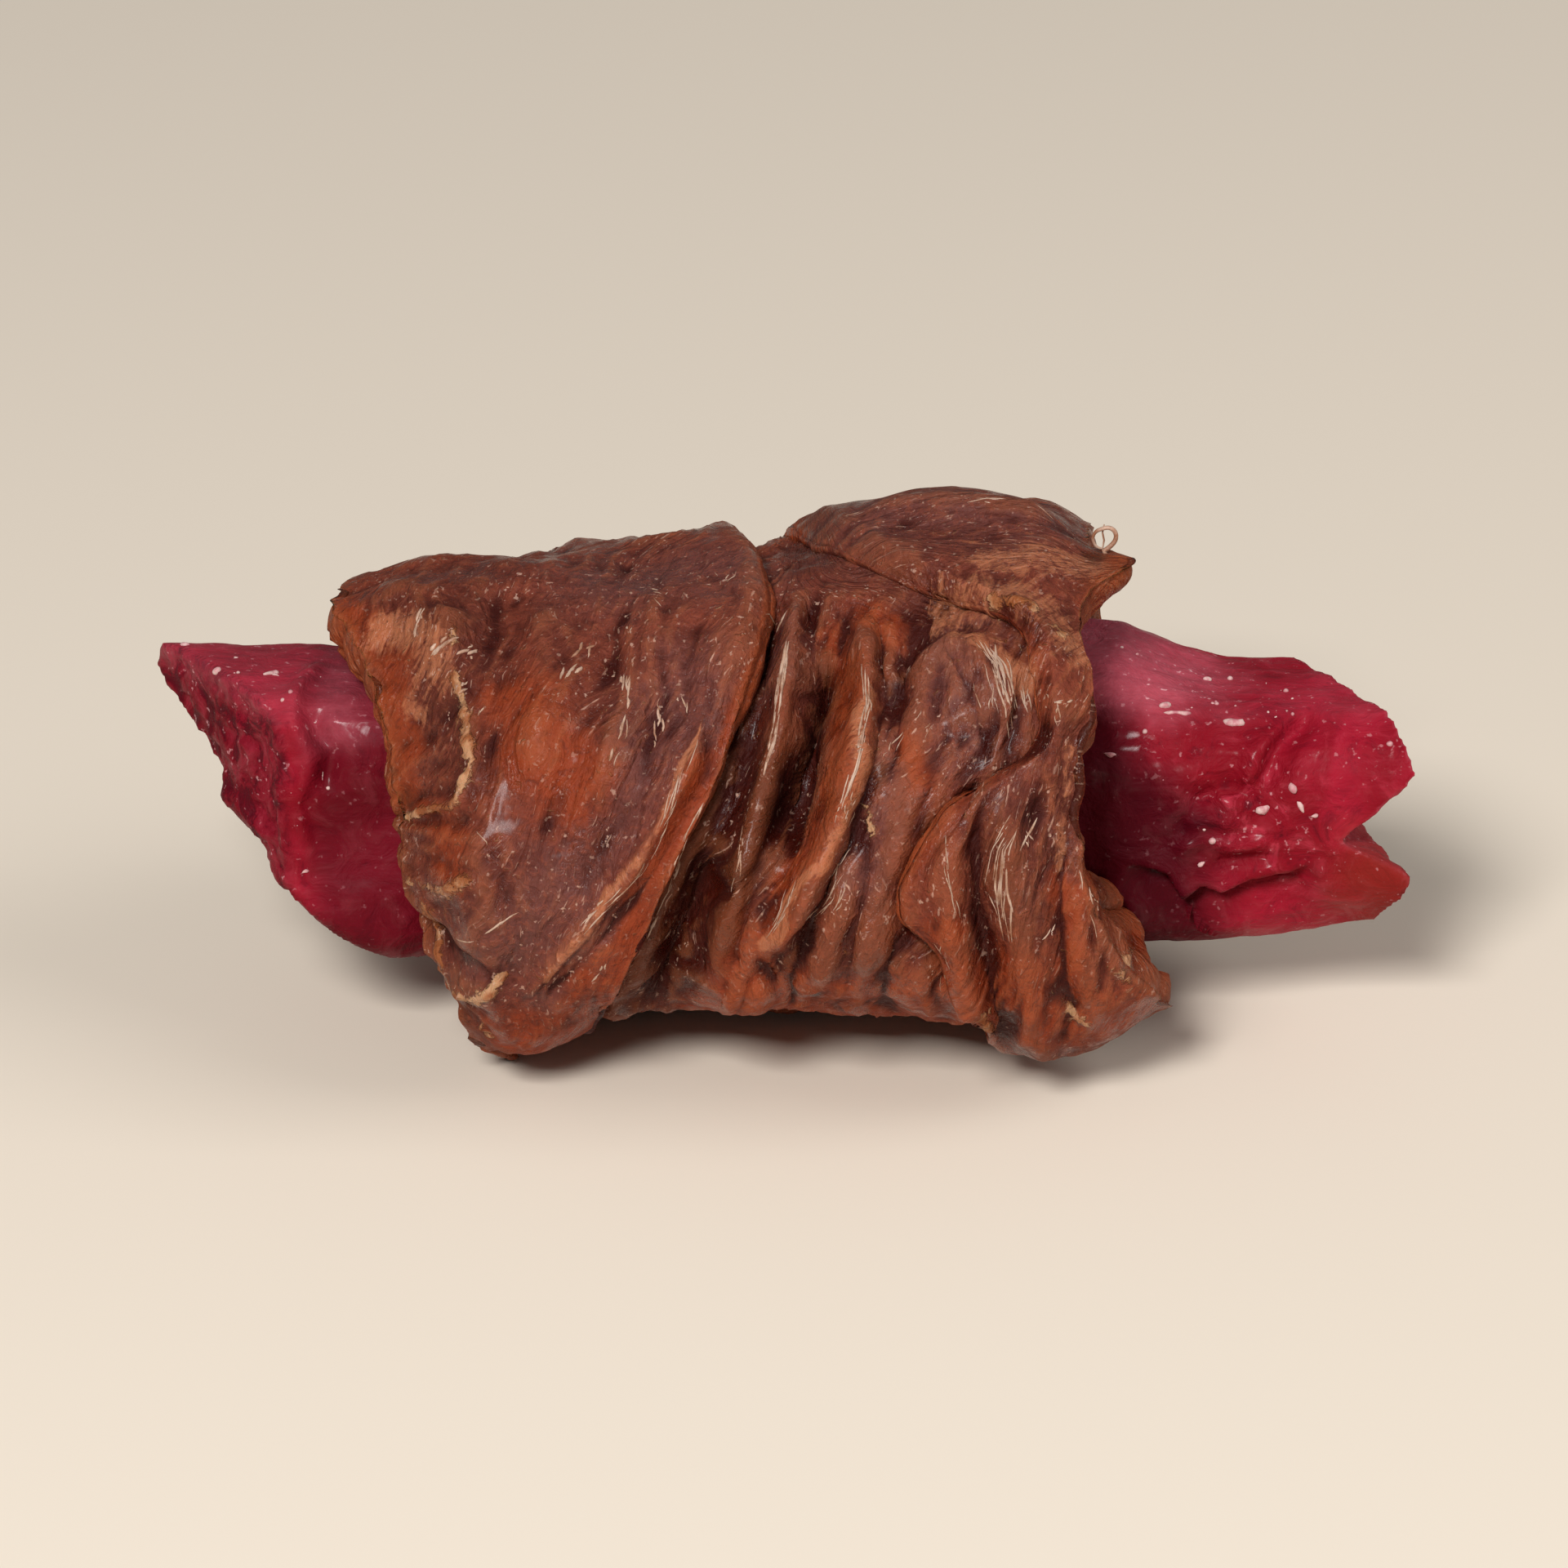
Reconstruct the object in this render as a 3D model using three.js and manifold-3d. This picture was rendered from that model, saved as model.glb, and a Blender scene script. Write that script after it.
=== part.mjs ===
// A dog chew: a strip of dried duck meat wound round a stick of dried purple sweet potato.
// Millimetres, +Z up. The stick runs along X, and the chew lies on the plane z = 0.
// A turn is an angle round the stick's axis, in degrees: 0 faces -Y, 90 faces up and 180 faces +Y.
import * as THREE from "three";
import { mergeVertices } from "three/addons/utils/BufferGeometryUtils.js";
import Module from "manifold-3d";

const { clamp, degToRad, euclideanModulo, lerp, smoothstep } = THREE.MathUtils;

// The stick's axis, which runs level along X.
const AXIS_Y = 0;
const AXIS_Z = 9.2;

// The stick was cut with a knife, so its section is a polygon with soft corners.
// Each face has the turn that it looks to, and its distance from the axis at the left and right ends.
const STICK_END = 29;
const STICK_FACES = [
  { turn: 2, left: 4.7, right: 5.1 },
  { turn: 47, left: 7.3, right: 5.8 },
  { turn: 92, left: 6.4, right: 5.0, shoulder: 1.5 },
  { turn: 140, left: 6.6, right: 6.2, shoulder: 1.6 },
  { turn: 181, left: 5.0, right: 4.8 },
  { turn: 226, left: 6.6, right: 5.9 },
  { turn: 271, left: 6.1, right: 5.1 },
  { turn: 318, left: 6.4, right: 5.0 },
];
// Its upper faces stand higher as far as this shoulder, which slopes down from one X to the other.
const SHOULDER = { from: 13.6, to: 18.6 };
const STICK_CORNER_POWER = 16;
const STICK_STEPS = 28;
const STICK_TURNS = 40;

// Knife cuts and a split at the stick's ends: a point on each plane, and the way that its waste lies.
const LEFT_END_CUTS = [
  { at: [-19.4, -4.6, 11], waste: [-0.79, -0.61, 0.02] },
  { at: [-26.0, 0, 12], waste: [-0.96, -0.05, 0.28] },
  { at: [-13.4, -4.5, 3.2], waste: [-0.6, 0.14, -0.79] },
];
const RIGHT_END_CUTS = [
  { at: [26.1, -4.1, 12], waste: [0.84, 0.53, -0.1] },
  { at: [19.5, -4, 3.9], waste: [0.28, 0, -0.96] },
];
const SPLIT = { root: [23.4, -4, 9.6], above: 42, below: 28, depth: 30, reach: 8 };

// The strip of meat. Its layers are given by their distance from the axis.
const BORE_GAP = 0.35;
const LAYER = 1.5;
const THINNEST = 1.1;
const BULK_Y = -0.8;
const BULK_LEFT = { x: -12, halfDepth: 12.4, halfHeight: 10.2 };
const BULK_RIGHT = { x: 9, halfDepth: 13.0, halfHeight: 11.3 };
const SINK = 0.75;

// How far the roll is drawn in round its foot, as turns and distances.
const FOOT = [[-120, 0], [-88, 0], [-77, 0.3], [-66, 1.0], [-52, 1.25], [-34, 0.5], [-12, 0], [90, 0], [200, 0]];

// Edges of the strip, as turns round the stick and places along X.
const LEFT_RIM = [
  [-60, -11.2], [-34, -12.6], [-14, -13.6], [12, -14.5], [40, -15.1], [60, -16.2], [80, -17.6], [100, -17.4],
  [125, -16.6], [165, -16.0], [210, -15.4], [260, -12.2],
];
const RIGHT_RIM = [
  [-90, 12.0], [-60, 12.9], [-42, 14.8], [-27, 16.0], [-8, 14.6], [6, 13.5], [20, 12.9], [40, 13.4], [60, 13.1],
  [93, 13.0], [110, 13.2], [130, 13.2], [165, 13.2], [200, 14.2], [240, 13.0],
];
const LEFT_LAP = [
  [-95, -9.0], [-60, -8.3], [-35, -6.9], [-17, -5.7], [0, -4.3], [17, -2.6], [32, -1.1], [50, 0.0], [70, 0.5],
  [90, 0.1], [140, -1.8], [200, -3.6], [235, -6.2],
];
const RIGHT_LAP = [
  [-95, 8.0], [-60, 8.6], [-26, 9.0], [-14, 7.8], [-4, 7.2], [2, 6.1], [8, 5.7], [14, 6.2], [20, 7.1], [25, 8.1],
  [29, 9.5], [34, 11.0], [42, 11.4], [50, 11.2], [57, 10.5], [63, 9.0], [70, 6.8], [78, 4.6], [90, 2.9], [110, 1.4],
  [140, 0.2], [200, -1.4], [235, 2.4],
];

// How far each lapped edge stands above the layer below, and how wide its bevel is.
const LEFT_LAP_HEIGHT = [[-60, 1.6], [-10, 2.2], [20, 2.1], [45, 1.7], [70, 1.3], [95, 0.8], [150, 0.6], [230, 0.9]];
const RIGHT_LAP_HEIGHT = [
  [-60, 1.6], [0, 1.6], [22, 1.5], [35, 0.9], [50, 0.8], [62, 0.6], [75, 0.45], [95, 0.4], [170, 0.6], [230, 0.9],
];
const LEFT_BEVEL = [[-40, 2.6], [0, 2.3], [17, 1.8], [32, 1.3], [60, 0.8], [150, 0.9], [230, 1.4]];
const RIGHT_BEVEL = [[-40, 0.8], [10, 1.2], [30, 0.8], [60, 0.9], [100, 1.2], [220, 1.2]];
const BEVEL_DROP = 0.9;
const LIP_NOSE = 0.5;

// At a rim the strip thins to an edge of this thickness, over this width.
const LEFT_RIM_THICKNESS = [
  [-50, 4.2], [-10, 2.6], [40, 1.9], [62, 2.2], [82, 2.9], [110, 2.5], [170, 2.2], [240, 3.4],
];
const LEFT_RIM_WIDTH = [[-50, 1.8], [-10, 3.4], [40, 4.4], [80, 3.8], [110, 4.6], [170, 4.4], [240, 2.4]];
const RIGHT_RIM_DROP = 1.2;
const RIGHT_RIM_WIDTH = 2.4;

// How far the right rim's upper edge stands out over its foot.
const RIGHT_FLARE = [
  [-60, 0.3], [-36, 0.9], [-20, 1.3], [-4, 0.5], [20, 0.2], [50, 0.2], [68, 0.4], [77, 2.2], [84, 1.9], [93, 0.4],
  [180, 0.3],
];

// Folds of the meat: each runs along a path of [X, turn] points and has a height and its widths to left and right.
// A fold of negative height is a crease.
const FLOOR_FOLDS = [
  { path: [[0.7, 72], [0.4, 48], [-0.5, 30], [-1.9, 15], [-5.4, -40]], height: -0.9, left: 0.7, right: 0.7 },
  { path: [[-1.2, 16], [-2.8, -2], [-4.4, -34]], height: -1.1, left: 1.1, right: 1.0 },
  { path: [[1.6, 78], [1.3, 56], [0.9, 40], [0.1, 22], [-0.8, 8], [-1.9, -12]], height: 1.1, left: 0.45, right: 0.5 },
  { path: [[3.0, 56], [2.6, 44], [2.0, 31], [0.9, 14]], height: -1.8, left: 0.6, right: 0.6 },
  { path: [[4.2, 68], [4.5, 48], [4.1, 32], [3.0, 17], [1.5, 3], [-0.4, -12]], height: 1.4, left: 0.8, right: 0.6 },
  { path: [[5.6, 52], [5.2, 36], [4.0, 19], [2.4, 2]], height: -0.35, left: 0.5, right: 0.5 },
  { path: [[5.8, 42], [4.6, 22], [3.2, 2], [1.8, -20]], height: 0.6, left: 0.6, right: 0.5 },
  { path: [[7.0, 58], [6.4, 36], [5.2, 12], [4.4, -12]], height: 0.45, left: 0.6, right: 0.6 },
  { path: [[8.2, 60], [9.4, 38]], height: 0.7, left: 1.5, right: 1.4 },
  { path: [[0.2, -10], [-1.0, -46]], height: 0.45, left: 0.6, right: 0.5 },
  { path: [[3.4, -8], [3.0, -46]], height: 0.4, left: 0.6, right: 0.6 },
  { path: [[5.9, -4], [6.0, -46]], height: 0.4, left: 0.6, right: 0.6 },
];
const PANEL_FOLDS = [
  { path: [[7.9, 22], [7.7, 8], [8.2, -10], [8.6, -40]], height: 0.5, left: 0.5, right: 0.5 },
  { path: [[8.9, 24], [9.0, 6], [9.5, -14], [10.0, -40]], height: -0.9, left: 0.5, right: 0.7 },
  { path: [[10.3, 26], [10.4, 8], [11.0, -14], [11.6, -40]], height: 0.45, left: 0.5, right: 0.6 },
  { path: [[12.1, 22], [12.2, 2], [12.9, -22]], height: -0.6, left: 0.6, right: 0.5 },
  { path: [[7.8, 67], [9.9, 62], [11.9, 54], [12.3, 34], [11.2, 26]], height: 0.5, left: 0.5, right: 0.7 },
  { path: [[-12.4, 70], [-12.6, 52], [-12.2, 44]], height: 0.6, left: 1.1, right: 0.8 },
  { path: [[-10.6, 80], [-10.8, 60], [-10.6, 42], [-11.0, 28]], height: -0.6, left: 0.6, right: 0.8 },
  { path: [[-8.8, 72], [-8.4, 50], [-9.2, 28]], height: 0.4, left: 0.8, right: 0.9 },
  { path: [[-2.0, 70], [-2.9, 46], [-4.8, 26], [-7.4, 6]], height: -0.5, left: 0.9, right: 0.7 },
  { path: [[-5.4, 76], [-5.6, 54], [-7.2, 30], [-9.6, 8]], height: -0.35, left: 0.7, right: 0.8 },
  { path: [[-11.7, 43], [-11.6, 31], [-12.7, 24], [-14.1, 25]], height: 0.5, left: 0.5, right: 0.5 },
  { path: [[-13.9, 5], [-12.8, 9], [-11.4, 10]], height: 0.45, left: 0.5, right: 0.5 },
  { path: [[-13.2, -8], [-12.0, -12], [-10.8, -8]], height: 0.45, left: 0.5, right: 0.5 },
  { path: [[4.5, 88], [12.0, 80]], height: -0.4, left: 0.6, right: 0.6 },
  { path: [[3.6, 98], [12.8, 90]], height: 0.4, left: 0.8, right: 0.8 },
  { path: [[3.0, 122], [12.5, 108]], height: -0.4, left: 0.9, right: 0.9 },
  { path: [[2.0, 150], [11.0, 126]], height: 0.4, left: 1.0, right: 1.0 },
  { path: [[-3.0, 110], [-9.0, 160]], height: -0.5, left: 0.9, right: 0.9 },
  { path: [[-7.0, 116], [-13.0, 170]], height: 0.5, left: 1.2, right: 1.2 },
  { path: [[2.0, 200], [11.0, 178]], height: -0.6, left: 0.9, right: 0.9 },
  { path: [[5.0, 230], [12.0, 200]], height: 0.5, left: 1.2, right: 1.2 },
  { path: [[-5.0, 190], [-12.0, 235]], height: -0.5, left: 1.0, right: 1.0 },
];

// The middle of the chew's box in the frame that the shapes are given in.
const MIDDLE_X = 0.46;
const MIDDLE_Y = -0.91;

// Steps of the wrap's mesh, which is finer at the front, where the folds are.
const FLOOR_ROWS = 25;
const LEFT_ROWS = 11;
const RIGHT_ROWS = 12;
const LIP_ROWS = 4;
const BORE_ROWS = 4;
const FRONT_TURNS = { from: -54, to: 96, steps: 48 };
const BACK_TURNS = { from: 96, to: 306, steps: 30 };

const axisPoint = (x) => new THREE.Vector3(x, AXIS_Y, AXIS_Z);

// The point at a distance from the axis, at a turn round it.
function around(x, turn, reach) {
  const a = degToRad(turn);
  return axisPoint(x).add(new THREE.Vector3(0, -reach * Math.cos(a), reach * Math.sin(a)));
}

// A closed smooth curve through [turn, value] knots, as a function of the turn.
function ring(knots) {
  const n = knots.length;
  const knot = (i) => {
    const laps = Math.floor(i / n);
    const [turn, value] = knots[i - laps * n];
    return { turn: turn + 360 * laps, value };
  };
  const slope = (i) => (knot(i + 1).value - knot(i - 1).value) / (knot(i + 1).turn - knot(i - 1).turn);
  return (turn) => {
    const t = knots[0][0] + euclideanModulo(turn - knots[0][0], 360);
    let i = 0;
    while (knot(i + 1).turn <= t) i++;
    const a = knot(i);
    const b = knot(i + 1);
    const span = b.turn - a.turn;
    const u = (t - a.turn) / span;
    return (
      a.value * (1 + 2 * u) * (1 - u) ** 2 +
      b.value * u * u * (3 - 2 * u) +
      span * u * (1 - u) * (slope(i) * (1 - u) - slope(i + 1) * u)
    );
  };
}

const leftRim = ring(LEFT_RIM);
const rightRim = ring(RIGHT_RIM);
const leftLap = ring(LEFT_LAP);
const rightLap = ring(RIGHT_LAP);
const leftLapHeight = ring(LEFT_LAP_HEIGHT);
const rightLapHeight = ring(RIGHT_LAP_HEIGHT);
const leftBevel = ring(LEFT_BEVEL);
const rightBevel = ring(RIGHT_BEVEL);
const leftRimThickness = ring(LEFT_RIM_THICKNESS);
const leftRimWidth = ring(LEFT_RIM_WIDTH);
const rightFlare = ring(RIGHT_FLARE);
const drawnIn = ring(FOOT);

// How far the stick reaches from its axis.
function stickReach(x, turn) {
  const along = (x + STICK_END) / (2 * STICK_END);
  let sum = 0;
  for (const { turn: facing, left, right, shoulder = 0 } of STICK_FACES) {
    const towards = Math.cos(degToRad(turn - facing));
    const raised = shoulder * smoothstep(x, 4, 12) * (1 - smoothstep(x, SHOULDER.from, SHOULDER.to));
    if (towards > 0) sum += (towards / (lerp(left, right, along) + raised)) ** STICK_CORNER_POWER;
  }
  return sum ** (-1 / STICK_CORNER_POWER);
}

const boreReach = (x, turn) => stickReach(x, turn) + BORE_GAP;

// How far the whole roll reaches: an ellipse that grows from left to right and rests on the plane z = 0.
function bulkReach(x, turn) {
  const along = clamp((x - BULK_LEFT.x) / (BULK_RIGHT.x - BULK_LEFT.x), 0, 1);
  const eased = along * along * (3 - 2 * along);
  const depth = lerp(BULK_LEFT.halfDepth, BULK_RIGHT.halfDepth, eased);
  const height = lerp(BULK_LEFT.halfHeight, BULK_RIGHT.halfHeight, eased);
  const a = degToRad(turn);
  const dir = [-Math.cos(a) / depth, Math.sin(a) / height];
  const axis = axisPoint(x);
  const from = [(axis.y - BULK_Y) / depth, (axis.z - height + SINK) / height];
  const p = dir[0] ** 2 + dir[1] ** 2;
  const q = dir[0] * from[0] + dir[1] * from[1];
  const s = from[0] ** 2 + from[1] ** 2 - 1;
  return (-q + Math.sqrt(q * q - p * s)) / p - drawnIn(turn);
}

// Millimetres of the meat's surface for one degree of turn.
const ARC = degToRad(11);

// Where a point lies beside a path: how far along it, from 0 to 1, and how far off, with the right side positive.
function beside(path, x, turn) {
  let best = { along: 0, off: Infinity };
  let walked = 0;
  for (let i = 1; i < path.length; i++) {
    const [fromX, fromTurn] = path[i - 1];
    const run = [path[i][0] - fromX, (path[i][1] - fromTurn) * ARC];
    const length = Math.hypot(...run);
    const off = [x - fromX, (euclideanModulo(turn - fromTurn + 180, 360) - 180) * ARC];
    const part = clamp((off[0] * run[0] + off[1] * run[1]) / length ** 2, 0, 1);
    const gap = Math.hypot(off[0] - part * run[0], off[1] - part * run[1]);
    const side = Math.sign(off[1] * run[0] - off[0] * run[1]) || 1;
    if (gap < Math.abs(best.off)) best = { along: walked + part * length, off: side * gap };
    walked += length;
  }
  return { along: best.along / walked, off: best.off };
}

function foldHeight(folds, x, turn) {
  let sum = 0;
  for (const { path, height, left, right } of folds) {
    const { along, off } = beside(path, x, turn);
    const fade = smoothstep(along, -0.02, 0.16) * (1 - smoothstep(along, 0.8, 1.02));
    sum += height * fade * Math.exp(-((off / (off < 0 ? left : right)) ** 2));
  }
  return sum;
}

// Slow swells of the meat, in whole waves round the stick.
function ripple(x, turn) {
  const a = degToRad(turn);
  return (
    0.3 * Math.sin(3 * a + 0.25 * x + 0.8) + 0.2 * Math.sin(5 * a - 0.42 * x + 2.1) + 0.16 * Math.sin(9 * a + 0.6 * x)
  );
}

// The outer layer's top. It is bevelled at its lapped edges and drawn in towards the stick at its rims.
function panelReach(x, turn) {
  const full = bulkReach(x, turn) + foldHeight(PANEL_FOLDS, x, turn) + ripple(x, turn);
  const fromLap = x < 0.5 * (leftLap(turn) + rightLap(turn)) ? leftLap(turn) - x : x - rightLap(turn);
  const bevel = x < 0.5 * (leftLap(turn) + rightLap(turn)) ? leftBevel(turn) : rightBevel(turn);
  const top = full - BEVEL_DROP * (1 - clamp(fromLap / bevel, 0, 1)) ** 1.2;
  const leftEdge = boreReach(x, turn) + leftRimThickness(turn);
  const rightEdge = Math.max(boreReach(x, turn) + 2.6, top - RIGHT_RIM_DROP);
  const grown = lerp(leftEdge, top, smoothstep(x - leftRim(turn), -0.8, leftRimWidth(turn)));
  const made = lerp(rightEdge, grown, smoothstep(rightRim(turn) - x, -0.6, RIGHT_RIM_WIDTH));
  return Math.max(made, boreReach(x, turn) + THINNEST);
}

// The lapped layer's top, without its folds.
const floorReach = (x, turn) => bulkReach(x, turn) - LAYER + ripple(x, turn);

// A rounded edge from the top of a layer to what lies under it. open is the side of X that it faces.
function lip(edge, open, top, floor, rows, { undercut = 0, flare = 0 }) {
  const half = (top - floor) / 2;
  const nose = Math.min(0.7 * half, LIP_NOSE);
  const made = [];
  for (let i = 0; i <= rows; i++) {
    const a = Math.PI * (0.5 - i / rows);
    const under = ((1 - Math.sin(a)) / 2) ** 2;
    const inward = undercut * half * under + flare * Math.min(1, 4 * under);
    made.push([edge + open * (nose * (Math.cos(a) - 1) - inward), floor + half * (1 + Math.sin(a))]);
  }
  return made;
}

const between = (a, b, rows, reach, turn) =>
  Array.from({ length: rows - 1 }, (_, i) => {
    const x = lerp(a, b, (i + 1) / rows);
    return [x, reach(x, turn)];
  });

// One section of the wrap at a turn, as [x, distance from the axis], from the left rim over the outside and back.
function wrapSection(turn) {
  const left = leftRim(turn);
  const flare = rightFlare(turn);
  const right = rightRim(turn) + flare;
  const leftEdge = leftLap(turn);
  const rightEdge = rightLap(turn);
  const overLeft = panelReach(leftEdge, turn);
  const overRight = panelReach(rightEdge, turn);
  const underLeft = Math.max(overLeft - leftLapHeight(turn), boreReach(leftEdge, turn) + THINNEST);
  const underRight = Math.max(overRight - rightLapHeight(turn), boreReach(rightEdge, turn) + THINNEST);
  const leftLip = lip(leftEdge, 1, overLeft, underLeft, LIP_ROWS, { undercut: 0.7 });
  const rightLip = lip(rightEdge, -1, overRight, underRight, LIP_ROWS, { undercut: 0.7 }).reverse();
  const floorFrom = leftLip.at(-1)[0];
  const floorTo = rightLip[0][0];
  const blended = (x) => {
    const room = (floorTo - floorFrom) / 2;
    const offEdges = (reach) =>
      smoothstep(x - floorFrom, 0, Math.min(reach, room)) * smoothstep(floorTo - x, 0, Math.min(reach, room));
    const side = lerp(underLeft, underRight, (x - floorFrom) / (floorTo - floorFrom));
    const made = lerp(side, floorReach(x, turn), offEdges(1.6)) + foldHeight(FLOOR_FOLDS, x, turn) * offEdges(0.6);
    return Math.max(made, boreReach(x, turn) + THINNEST);
  };
  return [
    ...lip(left, -1, panelReach(left, turn), boreReach(left, turn), LIP_ROWS, {}).reverse(),
    ...between(left, leftLip[0][0], LEFT_ROWS, panelReach, turn),
    ...leftLip,
    ...between(floorFrom, floorTo, FLOOR_ROWS, blended, turn),
    ...rightLip,
    ...between(rightLip.at(-1)[0], right, RIGHT_ROWS, panelReach, turn),
    ...lip(right, 1, panelReach(right, turn), boreReach(right - flare, turn), LIP_ROWS, { flare }),
    ...between(right - flare, left, BORE_ROWS, boreReach, turn),
  ];
}

// A closed surface from rows of points, with each row and the set of rows both closed on themselves.
// Each four-sided cell is split along its shorter diagonal.
function closedSurface(rows) {
  const across = rows[0].length;
  const geometry = new THREE.BufferGeometry();
  const index = [];
  rows.forEach((row, i) => {
    const next = rows[(i + 1) % rows.length];
    const a = i * across;
    const b = ((i + 1) % rows.length) * across;
    for (let j = 0; j < across; j++) {
      const k = (j + 1) % across;
      if (row[j].distanceTo(next[k]) < row[k].distanceTo(next[j])) {
        index.push(a + j, a + k, b + k, a + j, b + k, b + j);
      } else {
        index.push(a + j, a + k, b + j, a + k, b + k, b + j);
      }
    }
  });
  geometry.setAttribute("position", new THREE.Float32BufferAttribute(rows.flat().flatMap((p) => p.toArray()), 3));
  geometry.setIndex(index);
  return geometry;
}

const turnsOf = ({ from, to, steps }) => Array.from({ length: steps }, (_, i) => lerp(from, to, i / steps));

function wrapGeometry() {
  const rows = [...turnsOf(FRONT_TURNS), ...turnsOf(BACK_TURNS)].map((turn) =>
    wrapSection(turn).map(([x, reach]) => {
      const p = around(x, turn, reach);
      p.z = Math.max(p.z, 0);
      return p;
    }),
  );
  return closedSurface(rows);
}

// The stick before its ends are cut: rings of points along X, closed by a point at each end.
function stickBlank() {
  const points = [axisPoint(-STICK_END)];
  for (let i = 0; i <= STICK_STEPS; i++) {
    const x = lerp(-STICK_END, STICK_END, i / STICK_STEPS);
    for (let j = 0; j < STICK_TURNS; j++) {
      const turn = (360 * j) / STICK_TURNS;
      points.push(around(x, turn, stickReach(x, turn)));
    }
  }
  points.push(axisPoint(STICK_END));
  const index = [];
  for (let j = 0; j < STICK_TURNS; j++) {
    const k = (j + 1) % STICK_TURNS;
    index.push(0, 1 + j, 1 + k);
    for (let i = 0; i < STICK_STEPS; i++) {
      const a = 1 + i * STICK_TURNS;
      const b = a + STICK_TURNS;
      index.push(a + j, b + j, b + k, a + j, b + k, a + k);
    }
    const last = 1 + STICK_STEPS * STICK_TURNS;
    index.push(points.length - 1, last + k, last + j);
  }
  const geometry = new THREE.BufferGeometry();
  geometry.setAttribute("position", new THREE.Float32BufferAttribute(points.flatMap((p) => p.toArray()), 3));
  geometry.setIndex(index);
  return geometry;
}

const wasm = await Module();
wasm.setup();

function solidOf(geometry) {
  const bare = geometry.clone();
  bare.deleteAttribute("normal");
  bare.deleteAttribute("uv");
  const merged = mergeVertices(bare, 1e-4);
  return new wasm.Manifold(
    new wasm.Mesh({
      numProp: 3,
      vertProperties: new Float32Array(merged.getAttribute("position").array),
      triVerts: new Uint32Array(merged.index.array),
    }),
  );
}

function geometryOf(solid) {
  const mesh = solid.getMesh();
  const geometry = new THREE.BufferGeometry();
  geometry.setAttribute("position", new THREE.BufferAttribute(mesh.vertProperties, 3));
  geometry.setIndex(new THREE.BufferAttribute(mesh.triVerts, 1));
  return geometry;
}

// A block whose one face is the plane through a point, with the block on the waste side.
function wasteBlock({ at, waste }) {
  const size = 40;
  const outward = new THREE.Vector3(...waste).normalize();
  const block = new THREE.BoxGeometry(size, size, size);
  block.applyQuaternion(new THREE.Quaternion().setFromUnitVectors(new THREE.Vector3(0, 0, 1), outward));
  const centre = new THREE.Vector3(...at).addScaledVector(outward, size / 2);
  return block.translate(centre.x, centre.y, centre.z);
}

// The wedge that the split at the right end leaves open.
function splitWedge() {
  const rise = (angle) => SPLIT.reach * Math.tan(degToRad(angle));
  const shape = new THREE.Shape();
  shape.moveTo(0, 0);
  shape.lineTo(SPLIT.reach, -rise(SPLIT.below));
  shape.lineTo(SPLIT.reach, rise(SPLIT.above));
  const wedge = new THREE.ExtrudeGeometry(shape, { depth: SPLIT.depth, bevelEnabled: false });
  wedge.translate(0, 0, -SPLIT.depth / 2);
  wedge.rotateX(Math.PI / 2);
  return wedge.translate(...SPLIT.root);
}

function stickGeometry() {
  let stick = solidOf(stickBlank());
  for (const cut of [...LEFT_END_CUTS, ...RIGHT_END_CUTS]) stick = stick.subtract(solidOf(wasteBlock(cut)));
  return geometryOf(stick.subtract(solidOf(splitWedge())));
}

const potato = new THREE.MeshStandardMaterial({ color: 0x8c1a33, roughness: 0.5 });
const meat = new THREE.MeshStandardMaterial({ color: 0x7a3b2b, roughness: 0.45 });

// The chew's origin is under the middle of its box.
const stick = new THREE.Mesh(stickGeometry().translate(-MIDDLE_X, -MIDDLE_Y, 0), potato);
stick.name = "sweet_potato_stick";

const wrap = new THREE.Mesh(wrapGeometry().translate(-MIDDLE_X, -MIDDLE_Y, 0), meat);
wrap.name = "duck_wrap";

const chew = new THREE.Group();
chew.add(stick, wrap);

export default chew;
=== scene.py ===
import itertools
import math

import bmesh
import bpy
import numpy as np
from mathutils import Matrix, Vector
from mathutils.bvhtree import BVHTree


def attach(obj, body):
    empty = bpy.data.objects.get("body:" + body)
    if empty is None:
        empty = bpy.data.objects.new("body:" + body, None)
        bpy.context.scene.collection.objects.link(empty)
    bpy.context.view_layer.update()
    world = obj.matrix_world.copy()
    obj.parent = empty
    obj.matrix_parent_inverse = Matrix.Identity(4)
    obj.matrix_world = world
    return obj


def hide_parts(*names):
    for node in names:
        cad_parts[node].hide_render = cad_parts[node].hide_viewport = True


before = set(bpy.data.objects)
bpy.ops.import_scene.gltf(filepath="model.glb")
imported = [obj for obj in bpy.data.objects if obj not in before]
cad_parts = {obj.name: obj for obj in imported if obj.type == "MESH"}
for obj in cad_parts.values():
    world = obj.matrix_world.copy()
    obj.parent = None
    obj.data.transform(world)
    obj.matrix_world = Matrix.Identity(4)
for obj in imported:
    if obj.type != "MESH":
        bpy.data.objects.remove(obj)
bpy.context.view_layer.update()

# A millimetre in metres, and the place of the frame's origin among the measures below
MM = 0.001
MIDDLE = np.array([0.46, -0.91, 0.0])

# The stick of sweet potato: its faces as turn, distance at the left and right ends, and shoulder,
# which falls away between two places along X
AXIS_Z = 9.2
STICK_END = 29.0
STICK_FACES = [
    (2, 4.7, 5.1, 0), (47, 7.3, 5.8, 0), (92, 6.4, 5, 1.5), (140, 6.6, 6.2, 1.6), (181, 5, 4.8, 0),
    (226, 6.6, 5.9, 0), (271, 6.1, 5.1, 0), (318, 6.4, 5, 0),
]
SHOULDER = (13.6, 18.6)
STICK_CORNER_POWER = 16
STICK_VOXEL = 0.17

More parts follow.
